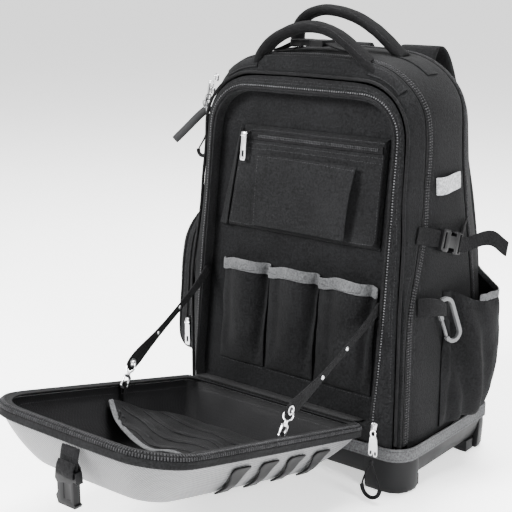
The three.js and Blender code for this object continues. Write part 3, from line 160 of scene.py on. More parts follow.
def shaded(nodes, links, shader, relief, strength, depth, dark, light, factor):
    """Colour between dark and light by factor, and bump from relief."""
    mix = nodes.new("ShaderNodeMix")
    mix.data_type = "RGBA"
    mix.inputs["A"].default_value = (*dark, 1)
    mix.inputs["B"].default_value = (*light, 1)
    links.new(factor, mix.inputs["Factor"])
    links.new(mix.outputs["Result"], shader.inputs["Base Color"])
    bump = nodes.new("ShaderNodeBump")
    bump.inputs["Strength"].default_value = strength
    bump.inputs["Distance"].default_value = depth
    links.new(relief, bump.inputs["Height"])
    links.new(bump.outputs["Normal"], shader.inputs["Normal"])


def woven(name, colour, pitch=1.3, rough=0.85, sheen=0.015, strength=0.5, wear=0.7, grain=0.9):
    """Basket weave of the given pitch in millimetres, with the uneven grain of coarse yarn."""
    material, nodes, links, shader = shader_of(name)
    turns = TAU / pitch * 1000
    place, grown = object_place(nodes, links, (turns, turns, turns))
    split = nodes.new("ShaderNodeSeparateXYZ")
    links.new(grown, split.inputs["Vector"])
    waves = [calculate(nodes, links, "SINE", split.outputs[axis]) for axis in "XYZ"]
    pairs = [calculate(nodes, links, "MULTIPLY", waves[i], waves[i - 1]) for i in range(3)]
    weave = calculate(nodes, links, "ADD", calculate(nodes, links, "ADD", pairs[0], pairs[1]), pairs[2])
    patches, yarn = noise_at(nodes, links, place, 22, 5), noise_at(nodes, links, place, 430, 2)
    worn = calculate(nodes, links, "MULTIPLY", patches, wear)
    uneven = calculate(nodes, links, "MULTIPLY", calculate(nodes, links, "SUBTRACT", yarn, 0.5), 2 * grain)
    knots = calculate(nodes, links, "ADD", calculate(nodes, links, "MULTIPLY", weave, 0.05), uneven)
    relief = calculate(nodes, links, "ADD", calculate(nodes, links, "MULTIPLY", weave, 0.25),
                       calculate(nodes, links, "MULTIPLY", yarn, 3))
    dark = [0.45 * c for c in colour]
    light = [1.9 * c for c in colour]
    shaded(nodes, links, shader, relief, strength, pitch / 3500, dark, light,
           calculate(nodes, links, "ADD", knots, worn))
    shader.inputs["Roughness"].default_value = rough
    shader.inputs["Sheen Weight"].default_value = sheen
    shader.inputs["Sheen Roughness"].default_value = 0.5
    shader.inputs["Specular IOR Level"].default_value = 0.06
    return material


def only(piece):
    bpy.ops.object.select_all(action="DESELECT")
    piece.select_set(True)
    bpy.context.view_layer.objects.active = piece


def applied(piece, kind, **settings):
    only(piece)
    modifier = piece.modifiers.new(kind.lower(), kind)
    for key, value in settings.items():
        setattr(modifier, key, value)
    bpy.ops.object.modifier_apply(modifier=modifier.name)


def merged_copy(node, name):
    """A copy of a CAD node's mesh with its triangles merged into quads where they pair up."""
    only(frame["nodes"][node])
    bpy.ops.object.duplicate()
    piece = bpy.context.object
    bpy.ops.object.parent_clear(type="CLEAR_KEEP_TRANSFORM")
    piece.name = name
    piece.data.materials.clear()
    bpy.ops.mesh.customdata_custom_splitnormals_clear()
    bpy.ops.object.mode_set(mode="EDIT")
    bpy.ops.mesh.select_all(action="SELECT")
    bpy.ops.mesh.remove_doubles(threshold=0.00002)
    bpy.ops.mesh.tris_convert_to_quads(face_threshold=math.radians(50), shape_threshold=math.radians(70))
    bpy.ops.object.mode_set(mode="OBJECT")
    return piece


def rounded(node, name, levels=2, sharp=50, crease=0.7):
    """The node's form with its facets smoothed away; edges over the sharp angle keep a crease."""
    piece = merged_copy(node, name)
    bpy.ops.object.mode_set(mode="EDIT")
    bpy.ops.mesh.select_mode(type="EDGE")
    bpy.ops.mesh.select_all(action="DESELECT")
    bpy.ops.mesh.edges_select_sharp(sharpness=math.radians(sharp))
    bpy.ops.transform.edge_crease(value=crease)
    bpy.ops.object.mode_set(mode="OBJECT")
    applied(piece, "SUBSURF", levels=levels, render_levels=levels)
    return piece


def shade(piece, angle=50):
    only(piece)
    bpy.ops.object.shade_smooth_by_angle(angle=math.radians(angle))


def dress(piece, material, body="bag", node=None, angle=50):
    piece.data.materials.append(material)
    shade(piece, angle)
    if node:
        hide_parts(node)
    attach(piece, body)


def rumple(piece, depth, size, direction="NORMAL"):
    """Soft unevenness of cloth, depth and size in millimetres."""
    clouds = bpy.data.textures.new(piece.name + " rumples", "CLOUDS")
    clouds.noise_scale = size / 1000
    clouds.noise_depth = 2
    applied(piece, "DISPLACE", texture=clouds, texture_coords="LOCAL", direction=direction,
            strength=depth / 1000, mid_level=0.5)


def bent(piece, move):
    """Moves each point of a piece by move(x, y, z), all in the bag's millimetres."""
    for vertex in piece.data.vertices:
        x, y, z = (vertex.co - bag_origin) * 1000
        vertex.co += Vector(move(x, y, z)) / 1000


def bell(value, middle, width):
    return math.exp(-(((value - middle) / width) ** 2))


nylon = woven("black woven nylon", (0.0046, 0.0047, 0.005))
front_frame = rounded("front_band", "front_frame_cloth")
rumple(front_frame, 1.4, 46)
dress(front_frame, nylon, node="front_band")
front_side = rounded("front_gusset", "front_gusset_cloth")
rumple(front_side, 1.2, 60)
dress(front_side, nylon, node="front_gusset")
main_side = rounded("main_gusset", "main_gusset_cloth")
rumple(main_side, 1.6, 80)
dress(main_side, nylon, node="main_gusset")
back_cloth = rounded("back_panel", "padded_back", levels=3)
rumple(back_cloth, 1.2, 60)


def quilted(x, y, z):
    channels = bell(abs(x), 46, 3) + 0.8 * bell(z, 190, 3) + 0.8 * bell(z, 330, 3)
    return (0, -2.6 * min(channels, 1) if y > 205 and abs(x) < 120 and z > 80 else 0, 0)


bent(back_cloth, quilted)
dress(back_cloth, nylon, node="back_panel")

# Seams of the body: the seam lines that its zips, piping and stitching follow, as shares of the
# body's half width, height and depth, like those the walls were cut to.
BODY_HALF, BODY_HEIGHT, BODY_DEPTH, BODY_FOOT = 167, 500, 205, 60
DEPTH_AT = [0.1, 0.4, 0.65, 0.8, 1]
SEAMS = {
    "piping": (0.93, 0.875, 0.95, 0.13, 0.006, [0.1, 0.1, 0.168, 0.2, 0.245]),
    "mid": (0.962, 0.905, 0.994, 0.14, 0.024, [0.163, 0.163, 0.352, 0.393, 0.341]),
    "rear": (0.985, 0.9, 1.004, 0.14, 0.03, [0.9, 0.87, 0.82, 0.79, 0.78]),
}


def smooth_step(value, low, high):
    share = min(max((value - low) / (high - low), 0), 1)
    return share * share * (3 - 2 * share)


def seam_line(name, grow=0, shift=0, foot=BODY_FOOT):
    """Points round the body along a seam, left foot to right foot."""
    low_half, high_half, top, corner, crown, depth = SEAMS[name]

    def half_at(z):
        narrowing = smooth_step(z, BODY_HEIGHT * 0.38, BODY_HEIGHT * 0.78)
        return BODY_HALF * (low_half + (high_half - low_half) * narrowing) + grow

    def depth_at(z):
        height = min(max(z / BODY_HEIGHT, DEPTH_AT[0]), 1)
        i = 0
        while i < len(DEPTH_AT) - 2 and height > DEPTH_AT[i + 1]:
            i += 1
        share = smooth_step(height, DEPTH_AT[i], DEPTH_AT[i + 1])
        return BODY_DEPTH * (depth[i] + (depth[i + 1] - depth[i]) * share) + shift

    high = BODY_HEIGHT * top + grow
    radius = BODY_HEIGHT * corner + grow
    spring = high - radius
    half = half_at(spring)
    right = [(half_at(foot + (spring - foot) * i / 24), foot + (spring - foot) * i / 24) for i in range(24)]
    for i in range(12):
        turn = i / 12 * math.pi / 2
        right.append((half - radius + radius * math.cos(turn), spring + radius * math.sin(turn)))
    right += [((half - radius) * (1 - i / 8), high) for i in range(9)]
    bent = []
    for x, z in right:
        rise = min(max((z - spring) / radius, 0), 1)
        bent.append((x, z - BODY_HEIGHT * crown * rise * (x / half) ** 2))
    around = [(-x, z) for x, z in bent[:-1]] + bent[::-1]
    return [at(x, depth_at(z), z) for x, z in around]


def along(points, pitch, closed=False):
    """Evenly spaced places on a line through points, with the line's direction at each."""
    points = points + points[:1] if closed else points
    places, carried = [], 0.0
    step = pitch / 1000
    for a, b in zip(points, points[1:]):
        length = (b - a).length
        if length < 1e-9:
            continue
        direction = (b - a) / length
        while carried <= length:
            places.append((a + direction * carried, direction))
            carried += step
        carried -= length
    return places


def laid_on(piece, points, pitch, lift=0.2, closed=False):
    """Places on a piece's surface under a line, each with a direction and the surface's normal."""
    result = []
    for place, direction in along(points, pitch, closed):
        hit, where, normal, _ = piece.closest_point_on_mesh(place)
        if hit:
            result.append((where + normal * lift / 1000, direction, normal))
    return result


def repeated(name, unit, places, material, body="bag", turn=0.0):
    """One mesh of copies of a unit: its X lies along each direction and its Z along the normal."""
    mesh = bmesh.new()
    for where, direction, normal in places:
        z = normal.normalized()
        x = (direction - z * direction.dot(z)).normalized()
        y = z.cross(x)
        before = len(mesh.verts)
        mesh.from_mesh(unit.data)
        mesh.verts.ensure_lookup_table()
        spun = Matrix((x, y, z)).transposed().to_4x4() @ Matrix.Rotation(turn, 4, "Z")
        spun.translation = where
        bmesh.ops.transform(mesh, matrix=spun, verts=mesh.verts[before:])
    data = bpy.data.meshes.new(name)
    mesh.to_mesh(data)
    mesh.free()
    piece = bpy.data.objects.new(name, data)
    bpy.context.collection.objects.link(piece)
    dress(piece, material, body)
    return piece


def unit_block(name, size, bevel):
    """A small rounded block at the origin, sizes in millimetres."""
    bpy.ops.object.select_all(action="DESELECT")
    bpy.ops.mesh.primitive_cube_add(size=1, location=(0, 0, 0))
    block = bpy.context.object
    block.name = name
    bpy.ops.object.mode_set(mode="EDIT")
    bpy.ops.mesh.select_all(action="SELECT")
    bpy.ops.transform.resize(value=tuple(s / 1000 for s in size))
    bpy.ops.mesh.bevel(offset=bevel / 1000, segments=1)
    bpy.ops.object.mode_set(mode="OBJECT")
    return block


thread_unit = unit_block("one stitch", (2.3, 0.55, 0.35), 0.14)
black_thread = woven("black thread", (0.014, 0.014, 0.0145), pitch=0.5)
grey_thread = woven("dark grey thread", (0.02, 0.02, 0.021), pitch=0.5)


def stitch(name, piece, points, thread=None, pitch=3.4, closed=False, body="bag"):
    places = laid_on(piece, points, pitch, 0.05, closed)
    return repeated(name, thread_unit, places, thread or black_thread, body)


def made_piece(name, points, faces):
    data = bpy.data.meshes.new(name)
    data.from_pydata(points, [], faces)
    piece = bpy.data.objects.new(name, data)
    bpy.context.collection.objects.link(piece)
    only(piece)
    bpy.ops.object.mode_set(mode="EDIT")
    bpy.ops.mesh.select_all(action="SELECT")
    bpy.ops.mesh.normals_make_consistent(inside=False)
    bpy.ops.object.mode_set(mode="OBJECT")
    return piece


def ribbon(name, places, half, thick, material, body="bag"):
    """A flat band laid on a surface; half is half its width."""
    section = [(-1, 0), (-1, 0.6), (-0.9, 1), (0.9, 1), (1, 0.6), (1, 0)]
    count = len(section)
    points, faces = [], []
    for where, direction, normal in places:
        across = normal.cross(direction).normalized()
        points += [where + (across * a * half + normal * b * thick) / 1000 for a, b in section]
    for i in range(len(places) - 1):
        for j in range(count):
            k = (j + 1) % count
            faces.append([i * count + j, i * count + k, (i + 1) * count + k, (i + 1) * count + j])
    faces += [list(range(count)), list(range(len(points) - 1, len(points) - count - 1, -1))]
    piece = made_piece(name, points, faces)
    dress(piece, material, body)
    return piece


def cloth_sheet(name, place, columns, rows, thick, material, body="bag"):
    """A thin cloth whose points are place(across, up), both from 0 to 1."""
    points = [place(i / columns, j / rows) for j in range(rows + 1) for i in range(columns + 1)]
    faces = []
    for j in range(rows):
        for i in range(columns):
            a = j * (columns + 1) + i
            faces.append([a, a + 1, a + columns + 2, a + columns + 1])
    piece = made_piece(name, points, faces)
    applied(piece, "SOLIDIFY", thickness=thick / 1000, offset=0)
    dress(piece, material, body)
    return piece


for grow, label in ((-8, "outer"), (-11.5, "inner")):
    stitch("front_frame_stitch_" + label, front_frame, seam_line("piping", grow, -2))
for shift, label in ((-12, "front"), (12, "rear")):
    wall = front_side if shift < 0 else main_side
    stitch("mid_seam_stitch_" + label, wall, seam_line("mid", 0, shift))
stitch("rear_seam_stitch", main_side, seam_line("rear", 0, -9))

# Piping and zips of the body: a corded edge round the front, a chunky coil zip round the middle
# and a finer one near the back. Coils are pairs of short loops on woven tape.
tape = woven("black zip tape", (0.004, 0.004, 0.0043), pitch=0.9, rough=0.75)
coil = woven("dark zip coil", (0.02, 0.02, 0.021), pitch=0.6, rough=0.4, sheen=0, strength=0.2)


def tube_along(name, points, radius, material, closed=False, body="bag", flat=None, corners=12):
    """A round or flattened tube through points; flat is (half width, half thickness)."""
    data = bpy.data.curves.new(name, "CURVE")
    data.dimensions = "3D"
    spline = data.splines.new("NURBS")
    spline.points.add(len(points) - 1)
    for knot, place in zip(spline.points, points):
        knot.co = (*place, 1)
    spline.order_u = 4
    spline.use_endpoint_u = not closed
    spline.use_cyclic_u = closed
    data.resolution_u = 4
    data.use_fill_caps = True
    section = None
    if flat:
        bpy.ops.object.select_all(action="DESELECT")
        bpy.ops.curve.primitive_bezier_circle_add(radius=1)
        section = bpy.context.object
        for knot in section.data.splines[0].bezier_points:
            for part in ("co", "handle_left", "handle_right"):
                value = getattr(knot, part)
                setattr(knot, part, (value.x * flat[0] / 1000, value.y * flat[1] / 1000, 0))
        section.data.resolution_u = 5
        data.bevel_mode = "OBJECT"
        data.bevel_object = section
    else:
        data.bevel_depth = radius / 1000
        data.bevel_resolution = max(corners // 4 - 1, 0)
    piece = bpy.data.objects.new(name, data)
    bpy.context.collection.objects.link(piece)
    only(piece)
    bpy.ops.object.convert(target="MESH")
    piece = bpy.context.object
    if section:
        bpy.data.objects.remove(section)
    dress(piece, material, body)
    return piece


front_cord = tube_along("front_piping_cord", seam_line("piping", 0, 0, 61), 1.9, tape)
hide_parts("front_piping")

tooth_unit = unit_block("one coil loop", (1.7, 3.2, 1.5), 0.4)
fine_tooth_unit = unit_block("one fine coil loop", (1.5, 1.8, 1.0), 0.3)


def coil_zip(name, piece, points, spread, unit, pitch, closed=False, body="bag"):
    """Two columns of coil loops beside a line on a zip's tape."""
    places = []
    for side in (-1, 1):
        for where, direction, normal in laid_on(piece, points, pitch, 0.25, closed):
            aside = normal.cross(direction).normalized()
            places.append((where + aside * side * spread / 1000, direction, normal))
    return repeated(name, unit, places, coil, body)


mid_tape = rounded("mid_zip", "mid_zip_tape")
dress(mid_tape, tape, node="mid_zip")
coil_zip("mid_zip_coil", mid_tape, seam_line("mid", 1.2), 2.2, tooth_unit, 3.2)
rear_tape = rounded("rear_zip", "rear_zip_tape")
dress(rear_tape, tape, node="rear_zip")
coil_zip("rear_zip_coil", rear_tape, seam_line("rear", 0.8), 1.2, fine_tooth_unit, 2)

# Front opening: the half of its zip that stays on the body runs round the frame's edge. It is a
# row of coil loops sewn beside a thin cord, in the plane of the opening, which leans back. The
# loops are a lighter copy of the coil: a painted highlight where light catches them.
HINGE_Z = 87
LEAN = math.radians(6.6)
OPENING_HALF, OPENING_HEIGHT, OPENING_CORNER, OPENING_TAPER = 133, 368, 45, 0.013


def on_panel(x, back, up):
    """A place in the leaning frame of the opening: back is the distance behind its plane."""
    return at(x, up * math.sin(LEAN) + back * math.cos(LEAN),
              HINGE_Z + up * math.cos(LEAN) - back * math.sin(LEAN))


def opening_line(grow, back, foot=6):
    right = []
    spring = OPENING_HEIGHT - OPENING_CORNER
    for i in range(21):
        up = foot + (spring - foot) * i / 20
        right.append((OPENING_HALF - OPENING_TAPER * up + grow, up))
    half = OPENING_HALF - OPENING_TAPER * spring
    for i in range(1, 11):
        turn = i / 10 * math.pi / 2
        right.append((half - OPENING_CORNER + (OPENING_CORNER + grow) * math.cos(turn),
                      spring + (OPENING_CORNER + grow) * math.sin(turn)))
    around = [(-x, up) for x, up in right] + right[::-1]
    return [on_panel(x, back, up) for x, up in around]


# Painted highlight: this coil is a lighter copy of the dark coil, lit rather than worn.
painted_lit_coil = woven("zip coil painted lighter as if lit", (0.055, 0.055, 0.057), pitch=0.6, rough=0.4, sheen=0, strength=0.2)
edge_places = laid_on(front_frame, opening_line(7, -3), 3.2, 0.2)
repeated("front_zip_coil", fine_tooth_unit, edge_places, painted_lit_coil)
CORD_LIFT = 0.4
cord_line = [where + normal * CORD_LIFT / 1000
             for where, _, normal in laid_on(front_frame, opening_line(3.5, -3), 12)]
tube_along("front_zip_cord", cord_line, 1.3, tape)

# Moulded base: satin dark plastic with chamfered feet, under a grey woven binding that is sewn
# on with two rows of thread.
def moulded(name, colour, rough=0.42, grain=900, strength=0.12, scuff=0.35):
    """Moulded plastic with a fine grain and light scuffs."""
    material, nodes, links, shader = shader_of(name)
    place, _ = object_place(nodes, links, (1, 1, 1))
    fine = nodes.new("ShaderNodeTexNoise")
    fine.inputs["Scale"].default_value = grain
    fine.inputs["Detail"].default_value = 2
    broad = nodes.new("ShaderNodeTexNoise")
    broad.inputs["Scale"].default_value = 34
    broad.inputs["Detail"].default_value = 6
    for noise in (fine, broad):
        links.new(place, noise.inputs["Vector"])
    factor = calculate(nodes, links, "MULTIPLY", broad.outputs["Fac"], 2 * scuff)
    shaded(nodes, links, shader, fine.outputs["Fac"], strength, 0.0003,
           [0.85 * c for c in colour], [1.25 * c for c in colour], factor)
    shine = calculate(nodes, links, "ADD", calculate(nodes, links, "MULTIPLY", broad.outputs["Fac"], 0.25),
                      rough - 0.12)
    links.new(shine, shader.inputs["Roughness"])
    shader.inputs["Specular IOR Level"].default_value = 0.09
    return material


def edged(piece, bevel, segments=2, width_angle=35):
    """Small rounded edges on a hard piece."""
    only(piece)
    bpy.ops.object.mode_set(mode="EDIT")
    bpy.ops.mesh.select_all(action="SELECT")
    bpy.ops.mesh.dissolve_limited(angle_limit=math.radians(1))
    bpy.ops.object.mode_set(mode="OBJECT")
    applied(piece, "BEVEL", width=bevel / 1000, segments=segments, limit_method="ANGLE",
            angle_limit=math.radians(width_angle), use_clamp_overlap=True)


def crisp(node, name, bevel=0.5, segments=2, width_angle=35):
    """A hard piece from its node, with small rounded edges."""
    piece = merged_copy(node, name)
    edged(piece, bevel, segments, width_angle)
    return piece


base_plastic = moulded("satin dark moulding", (0.0062, 0.0063, 0.0067), rough=0.45)
base_tub = crisp("moulded_base", "moulded_base_tub", bevel=1.2, segments=3, width_angle=25)
dress(base_tub, base_plastic, node="moulded_base", angle=42)

grosgrain = woven("grey woven binding", (0.064, 0.065, 0.067), pitch=1.5, wear=0.6, grain=0.5)
base_binding = rounded("base_trim", "base_binding")
dress(base_binding, grosgrain, node="base_trim")


TUB_HALF, TUB_FRONT, TUB_BACK = 169.5, 15.5, 221
TUB_FRONT_CORNER, TUB_REAR_CORNER = 28, 14


def base_line(inset, z, steps=10):
    """A line round the base at height z, inset from the tub's wall."""
    half, front, back = TUB_HALF - inset, TUB_FRONT + inset, TUB_BACK - inset
    line = []
    for cx, cy, radius, start in ((1, 1, TUB_REAR_CORNER, 0), (-1, 1, TUB_REAR_CORNER, 90),
                                  (-1, -1, TUB_FRONT_CORNER, 180), (1, -1, TUB_FRONT_CORNER, 270)):
        radius = max(radius - inset, 3)
        middle_x = cx * (half - radius)
        middle_y = back - radius if cy > 0 else front + radius
        for i in range(steps + 1):
            turn = math.radians(start + 90 * i / steps)
            line.append(at(middle_x + radius * math.cos(turn), middle_y + radius * math.sin(turn), z))
    return line


COLUMN_LEVELS = [(41.5, -0.4), (30, -0.8), (5, 0.6), (0.2, 2.6)]
COLUMN_ARM_X, COLUMN_ARM_Y, COLUMN_THICK = 24, 8, 10


def base_column(name, side, end):
    """A corner foot flush with the tub's wall: side is -1 or 1 in x, end is -1 at the front."""
    edge, radius = (TUB_BACK, TUB_REAR_CORNER) if end > 0 else (TUB_FRONT, TUB_FRONT_CORNER)
    mid_x, mid_y = side * (TUB_HALF - radius), edge - end * radius

    def loop(inset, z):
        ring = []
        for grow, turns in ((-inset, (0, 22, 45, 68, 90)), (-inset - COLUMN_THICK, (90, 45, 0))):
            reach = radius + grow
            arc = []
            for turn in turns:
                angle = math.radians(turn)
                arc.append((side * reach * math.cos(angle), end * reach * math.sin(angle)))
            ends = [(side * reach, -end * COLUMN_ARM_Y), (-side * COLUMN_ARM_X, end * reach)]
            first, last = ends if turns[0] == 0 else ends[::-1]
            ring += [at(mid_x + x, mid_y + y, z) for x, y in [first, *arc, last]]
        return ring

    loops = [loop(inset, z) for z, inset in COLUMN_LEVELS]
    count = len(loops[0])
    faces = []
    for i in range(len(loops) - 1):
        for j in range(count):
            k = (j + 1) % count
            faces.append([i * count + j, i * count + k, (i + 1) * count + k, (i + 1) * count + j])
    faces += [list(range(count)), list(range((len(loops) - 1) * count, len(loops) * count))]
    piece = made_piece(name, [point for ring in loops for point in ring], faces)
    applied(piece, "BEVEL", width=0.0009, segments=2, limit_method="ANGLE", angle_limit=math.radians(30))
    dress(piece, base_plastic, angle=42)


for side, side_name in ((-1, "left"), (1, "right")):
    for end, end_name in ((-1, "front"), (1, "rear")):
        base_column(f"base_foot_{end_name}_{side_name}", side, end)
for z in (45, 55):
    stitch(f"base_binding_stitch_{z}", base_binding, base_line(-3, z), grey_thread, closed=True)

# Tool panel: a flat board covered in the same nylon, with the pockets sewn on it. It shows slight
# waves where the cloth is pulled over the board.
def relaid(node, name, voxel):
    """The node's form as an even net of small faces, for cloth on thick or irregular solids."""
    piece = merged_copy(node, name)
    applied(piece, "REMESH", mode="VOXEL", voxel_size=voxel / 1000)
    applied(piece, "SMOOTH", factor=0.5, iterations=2)
    return piece


panel_cloth = woven("black panel cloth", (0.0043, 0.0044, 0.0047), pitch=1.2)
panel = relaid("tool_panel", "tool_panel_cloth", 2.4)
rumple(panel, 0.9, 70, "Y")
dress(panel, panel_cloth, node="tool_panel")

# Hard front pocket: a shell thermoformed from silver-grey sheet with fine crossed ribs. It hangs
# open from a cloth hinge at its near edge, so its lines are set out in a frame of its own.
TRAY_RISE = math.radians(12.6)
TRAY_LENGTH, TRAY_NEAR, TRAY_CORNER, TRAY_NEAR_CORNER = 354, 7, 60, 14


def on_tray(x, away, rise):
    """A place in the open pocket's frame: away from the hinge, rise above its rim."""
    return at(x, -away * math.cos(TRAY_RISE) + rise * math.sin(TRAY_RISE),
              HINGE_Z + away * math.sin(TRAY_RISE) + rise * math.cos(TRAY_RISE))


def tray_line(inset, rise, steps=12):
    """A line round the open pocket's rim, inset from it and rise above it."""
    half, near, far = OPENING_HALF - inset, TRAY_NEAR + inset, TRAY_LENGTH - inset
    line = []
    for cx, end, radius, start in ((1, near, TRAY_NEAR_CORNER, 0), (-1, near, TRAY_NEAR_CORNER, 90),
                                   (-1, far, TRAY_CORNER, 180), (1, far, TRAY_CORNER, 270)):
        radius = max(radius - 0.6 * inset, 4)
        middle_x = cx * (half - radius)
        middle_y = -(near + radius) if end == near else -(far - radius)
        for i in range(steps + 1):
            turn = math.radians(start + 90 * i / steps)
            away = -(middle_y + radius * math.sin(turn))
            line.append(on_tray(middle_x + radius * math.cos(turn), away, rise))
    return line


def ribbed_shell(name, colour, pitch):
    """Moulded sheet with fine ribs that run slantwise, shallower ones crossing them. Its colour is darker
    in the rib hollows and lighter on the crests, painted shade on the ribs, with random patches besides.
    """
    material, nodes, links, shader = shader_of(name)
    turns = TAU / pitch * 1000
    place, grown = object_place(nodes, links, (0.8 * turns, 0.75 * turns, turns))
    split = nodes.new("ShaderNodeSeparateXYZ")
    links.new(grown, split.inputs["Vector"])
    level = calculate(nodes, links, "ADD", split.outputs["Y"], split.outputs["Z"])
    ribs = calculate(nodes, links, "SINE", calculate(nodes, links, "ADD", split.outputs["X"], level))
    other_way = calculate(nodes, links, "SUBTRACT", split.outputs["X"], level)
    crossing = calculate(nodes, links, "SINE", other_way)
    relief = calculate(nodes, links, "ADD", ribs, calculate(nodes, links, "MULTIPLY", crossing, 0.35))
    patches = noise_at(nodes, links, place, 15, 4)
    # Painted shade and light: the colour follows the ribs' height, darker in their hollows and lighter on
    # their crests; the patches are random tone.
    factor = calculate(nodes, links, "ADD", calculate(nodes, links, "MULTIPLY", relief, 0.22), patches)
    shaded(nodes, links, shader, relief, 0.45, 0.0005,
           [0.68 * c for c in colour], [1.2 * c for c in colour], factor)
    shader.inputs["Roughness"].default_value = 0.45
    shader.inputs["Metallic"].default_value = 0.1
    return material


silver_shell = ribbed_shell("silver-grey ribbed shell", (0.08, 0.081, 0.083), 3.4)
shell = rounded("tray_shell", "front_pocket_shell", levels=3, crease=0.5)
dress(shell, silver_shell, node="tray_shell")

# Rim of the front pocket: a black band sewn over the shell's edge. It carries the other half of
# the zip, a double row of teeth, with a cord inside it and a flat tape stitched below.
rim = rounded("tray_rim", "front_pocket_rim", levels=2)
dress(rim, tape, node="tray_rim")
tube_along("rim_cord", tray_line(9.4, 0.4, 10), 1.2, tape, closed=True)
rim_tooth_unit = unit_block("one rim tooth", (1.7, 3.6, 1.6), 0.45)
for label, inset, rise in (("inner", 3.3, 1.6), ("outer", 0.1, -1.2)):
    rim_places = laid_on(rim, tray_line(inset, rise), 3.1, 0.3, closed=True)
    repeated("rim_teeth_" + label, rim_tooth_unit, rim_places, coil)
rim_band = woven("grey-black rim tape", (0.0055, 0.0056, 0.0059), pitch=1.1)
lower_band = [where for where, _, _ in laid_on(rim, tray_line(-2, -7.5, 10), 9, 0.5, closed=True)]
tube_along("rim_tape", lower_band, 0, rim_band, closed=True, flat=(0.7, 3.6))
stitch("rim_stitch", rim, tray_line(-2, -10.6), grey_thread, closed=True)

# Lining and slip pocket: thin black cloth glued inside the shell, and a slack pocket sewn over it.
# Flat rows of the same cloth are stitched across the pocket, and its mouth is bound in grey.
lining_cloth = woven("black lining cloth", (0.0038, 0.0038, 0.0041), pitch=1.0, rough=0.5, grain=0.3)
lining = rounded("tray_lining", "front_pocket_lining", levels=2, sharp=60)
rumple(lining, 0.7, 60)
dress(lining, lining_cloth, node="tray_lining")
stitch("lining_stitch", lining, tray_line(15, -9), grey_thread, closed=True)

slip_pocket = rounded("tray_pocket", "slip_pocket_cloth", levels=3)
rumple(slip_pocket, 4.5, 45, "Z")


def slack(x, y, z):
    return (0, 0, 2.4 * math.sin(x / 15) * bell(y, -232, 40) + 1.2 * math.sin((x + 0.4 * y) / 11))


bent(slip_pocket, slack)
dress(slip_pocket, lining_cloth, node="tray_pocket")
slip_binding = rounded("tray_pocket_binding", "slip_pocket_binding", levels=3)
rumple(slip_binding, 4.5, 45, "Z")
bent(slip_binding, slack)
dress(slip_binding, grosgrain, node="tray_pocket_binding")
SLIP_ROWS = (196, 160, 124, 88)
SLIP_ROW_HALF = 6
for away in SLIP_ROWS:
    sagging = [on_tray(x, away + 6 * math.sin(x / 17 + away), 0) for x in range(-92, 93, 6)]
    row_places = laid_on(slip_pocket, sagging, 5, 0.2)
    row = ribbon(f"slip_pocket_row_{away}", row_places, SLIP_ROW_HALF, 1, lining_cloth)
    for shift, mark in ((-4.5, "m4"), (4.5, "p4")):
        edge = [place + Vector((0, shift / 1000, 0.003)) for place in sagging]
        stitch(f"slip_pocket_stitch_{away}_{mark}", row, edge, grey_thread)

# Hinge: a strip of tape cloth that joins the pocket's near edge to the body, with two rows of
# stitches across the bag.
hinge_cloth = rounded("hinge_strip", "hinge_strip_cloth", levels=3)
dress(hinge_cloth, tape, node="hinge_strip")
for away in (11, 14):
    hinge_row = [on_tray(x, away, 5) for x in range(-112, 113, 16)]
    stitch(f"hinge_stitch_{away}", hinge_cloth, hinge_row, grey_thread)

# Side tabs: four black rubber strips set slantwise on the shell's side. Each is flared at both
# ends, narrow in its middle and arched a little away from the shell.
rubbery = moulded("black rubber tab", (0.0035, 0.0035, 0.0038), rough=0.5)


def own_axes(piece):
    """A piece's middle and its long, wide and thin directions, the long one up or back and the
    thin one out of the bag."""
    places = numpy.array([vertex.co for vertex in piece.data.vertices])
    middle = Vector(places.mean(axis=0))
    spread = numpy.linalg.eigh(numpy.cov(places.T))[1]
    out_way, long_way = Vector(spread[:, 0]), Vector(spread[:, 2])
    if long_way.dot(Vector((0.1, 0.3, 1))) < 0:
        long_way = -long_way
    if out_way.dot(middle - at(0, 60, 120)) < 0:
        out_way = -out_way
    return middle, long_way, out_way.cross(long_way), out_way


TAB_FLARE, TAB_WAIST, TAB_ARCH = 0.35, 0.3, 2.2
for i in range(1, 5):
    tab = rounded(f"shell_tab_{i}", f"shell_side_tab_{i}", levels=3, sharp=40, crease=0.9)
    middle, long_way, wide_way, out_way = own_axes(tab)
    reach = max(abs((v.co - middle).dot(long_way)) for v in tab.data.vertices)
    for vertex in tab.data.vertices:
        share = (vertex.co - middle).dot(long_way) / reach
        aside = (vertex.co - middle).dot(wide_way)
        widening = TAB_FLARE * bell(abs(share), 0.82, 0.22) - TAB_WAIST * bell(share, 0, 0.4)
        vertex.co += wide_way * aside * widening + out_way * TAB_ARCH / 1000 * bell(share, 0, 0.45)
    dress(tab, rubbery, node=f"shell_tab_{i}")

# Front strap and half buckle: black webbing from the shell's edge, looped round the bar of a
# moulded side-release buckle whose slots and side windows are cut through it.
def carved(node, name, cuts, bevel=0.6):
    """A moulding from its node with slots cut in it; a cut is a place and a size in millimetres,
    each along the long, wide and thin directions."""
    piece = merged_copy(node, name)
    middle, *ways = own_axes(piece)
    for place, size in cuts:
        cutter = unit_block(name + " cutter", size, 0.4)
        turned = Matrix(ways).transposed().to_4x4()
        turned.translation = middle + sum((way * far / 1000 for way, far in zip(ways, place)), Vector())
        cutter.data.transform(turned)
        applied(piece, "BOOLEAN", operation="DIFFERENCE", solver="EXACT", object=cutter)
        bpy.data.objects.remove(cutter)
    edged(piece, bevel, 3)
    return piece


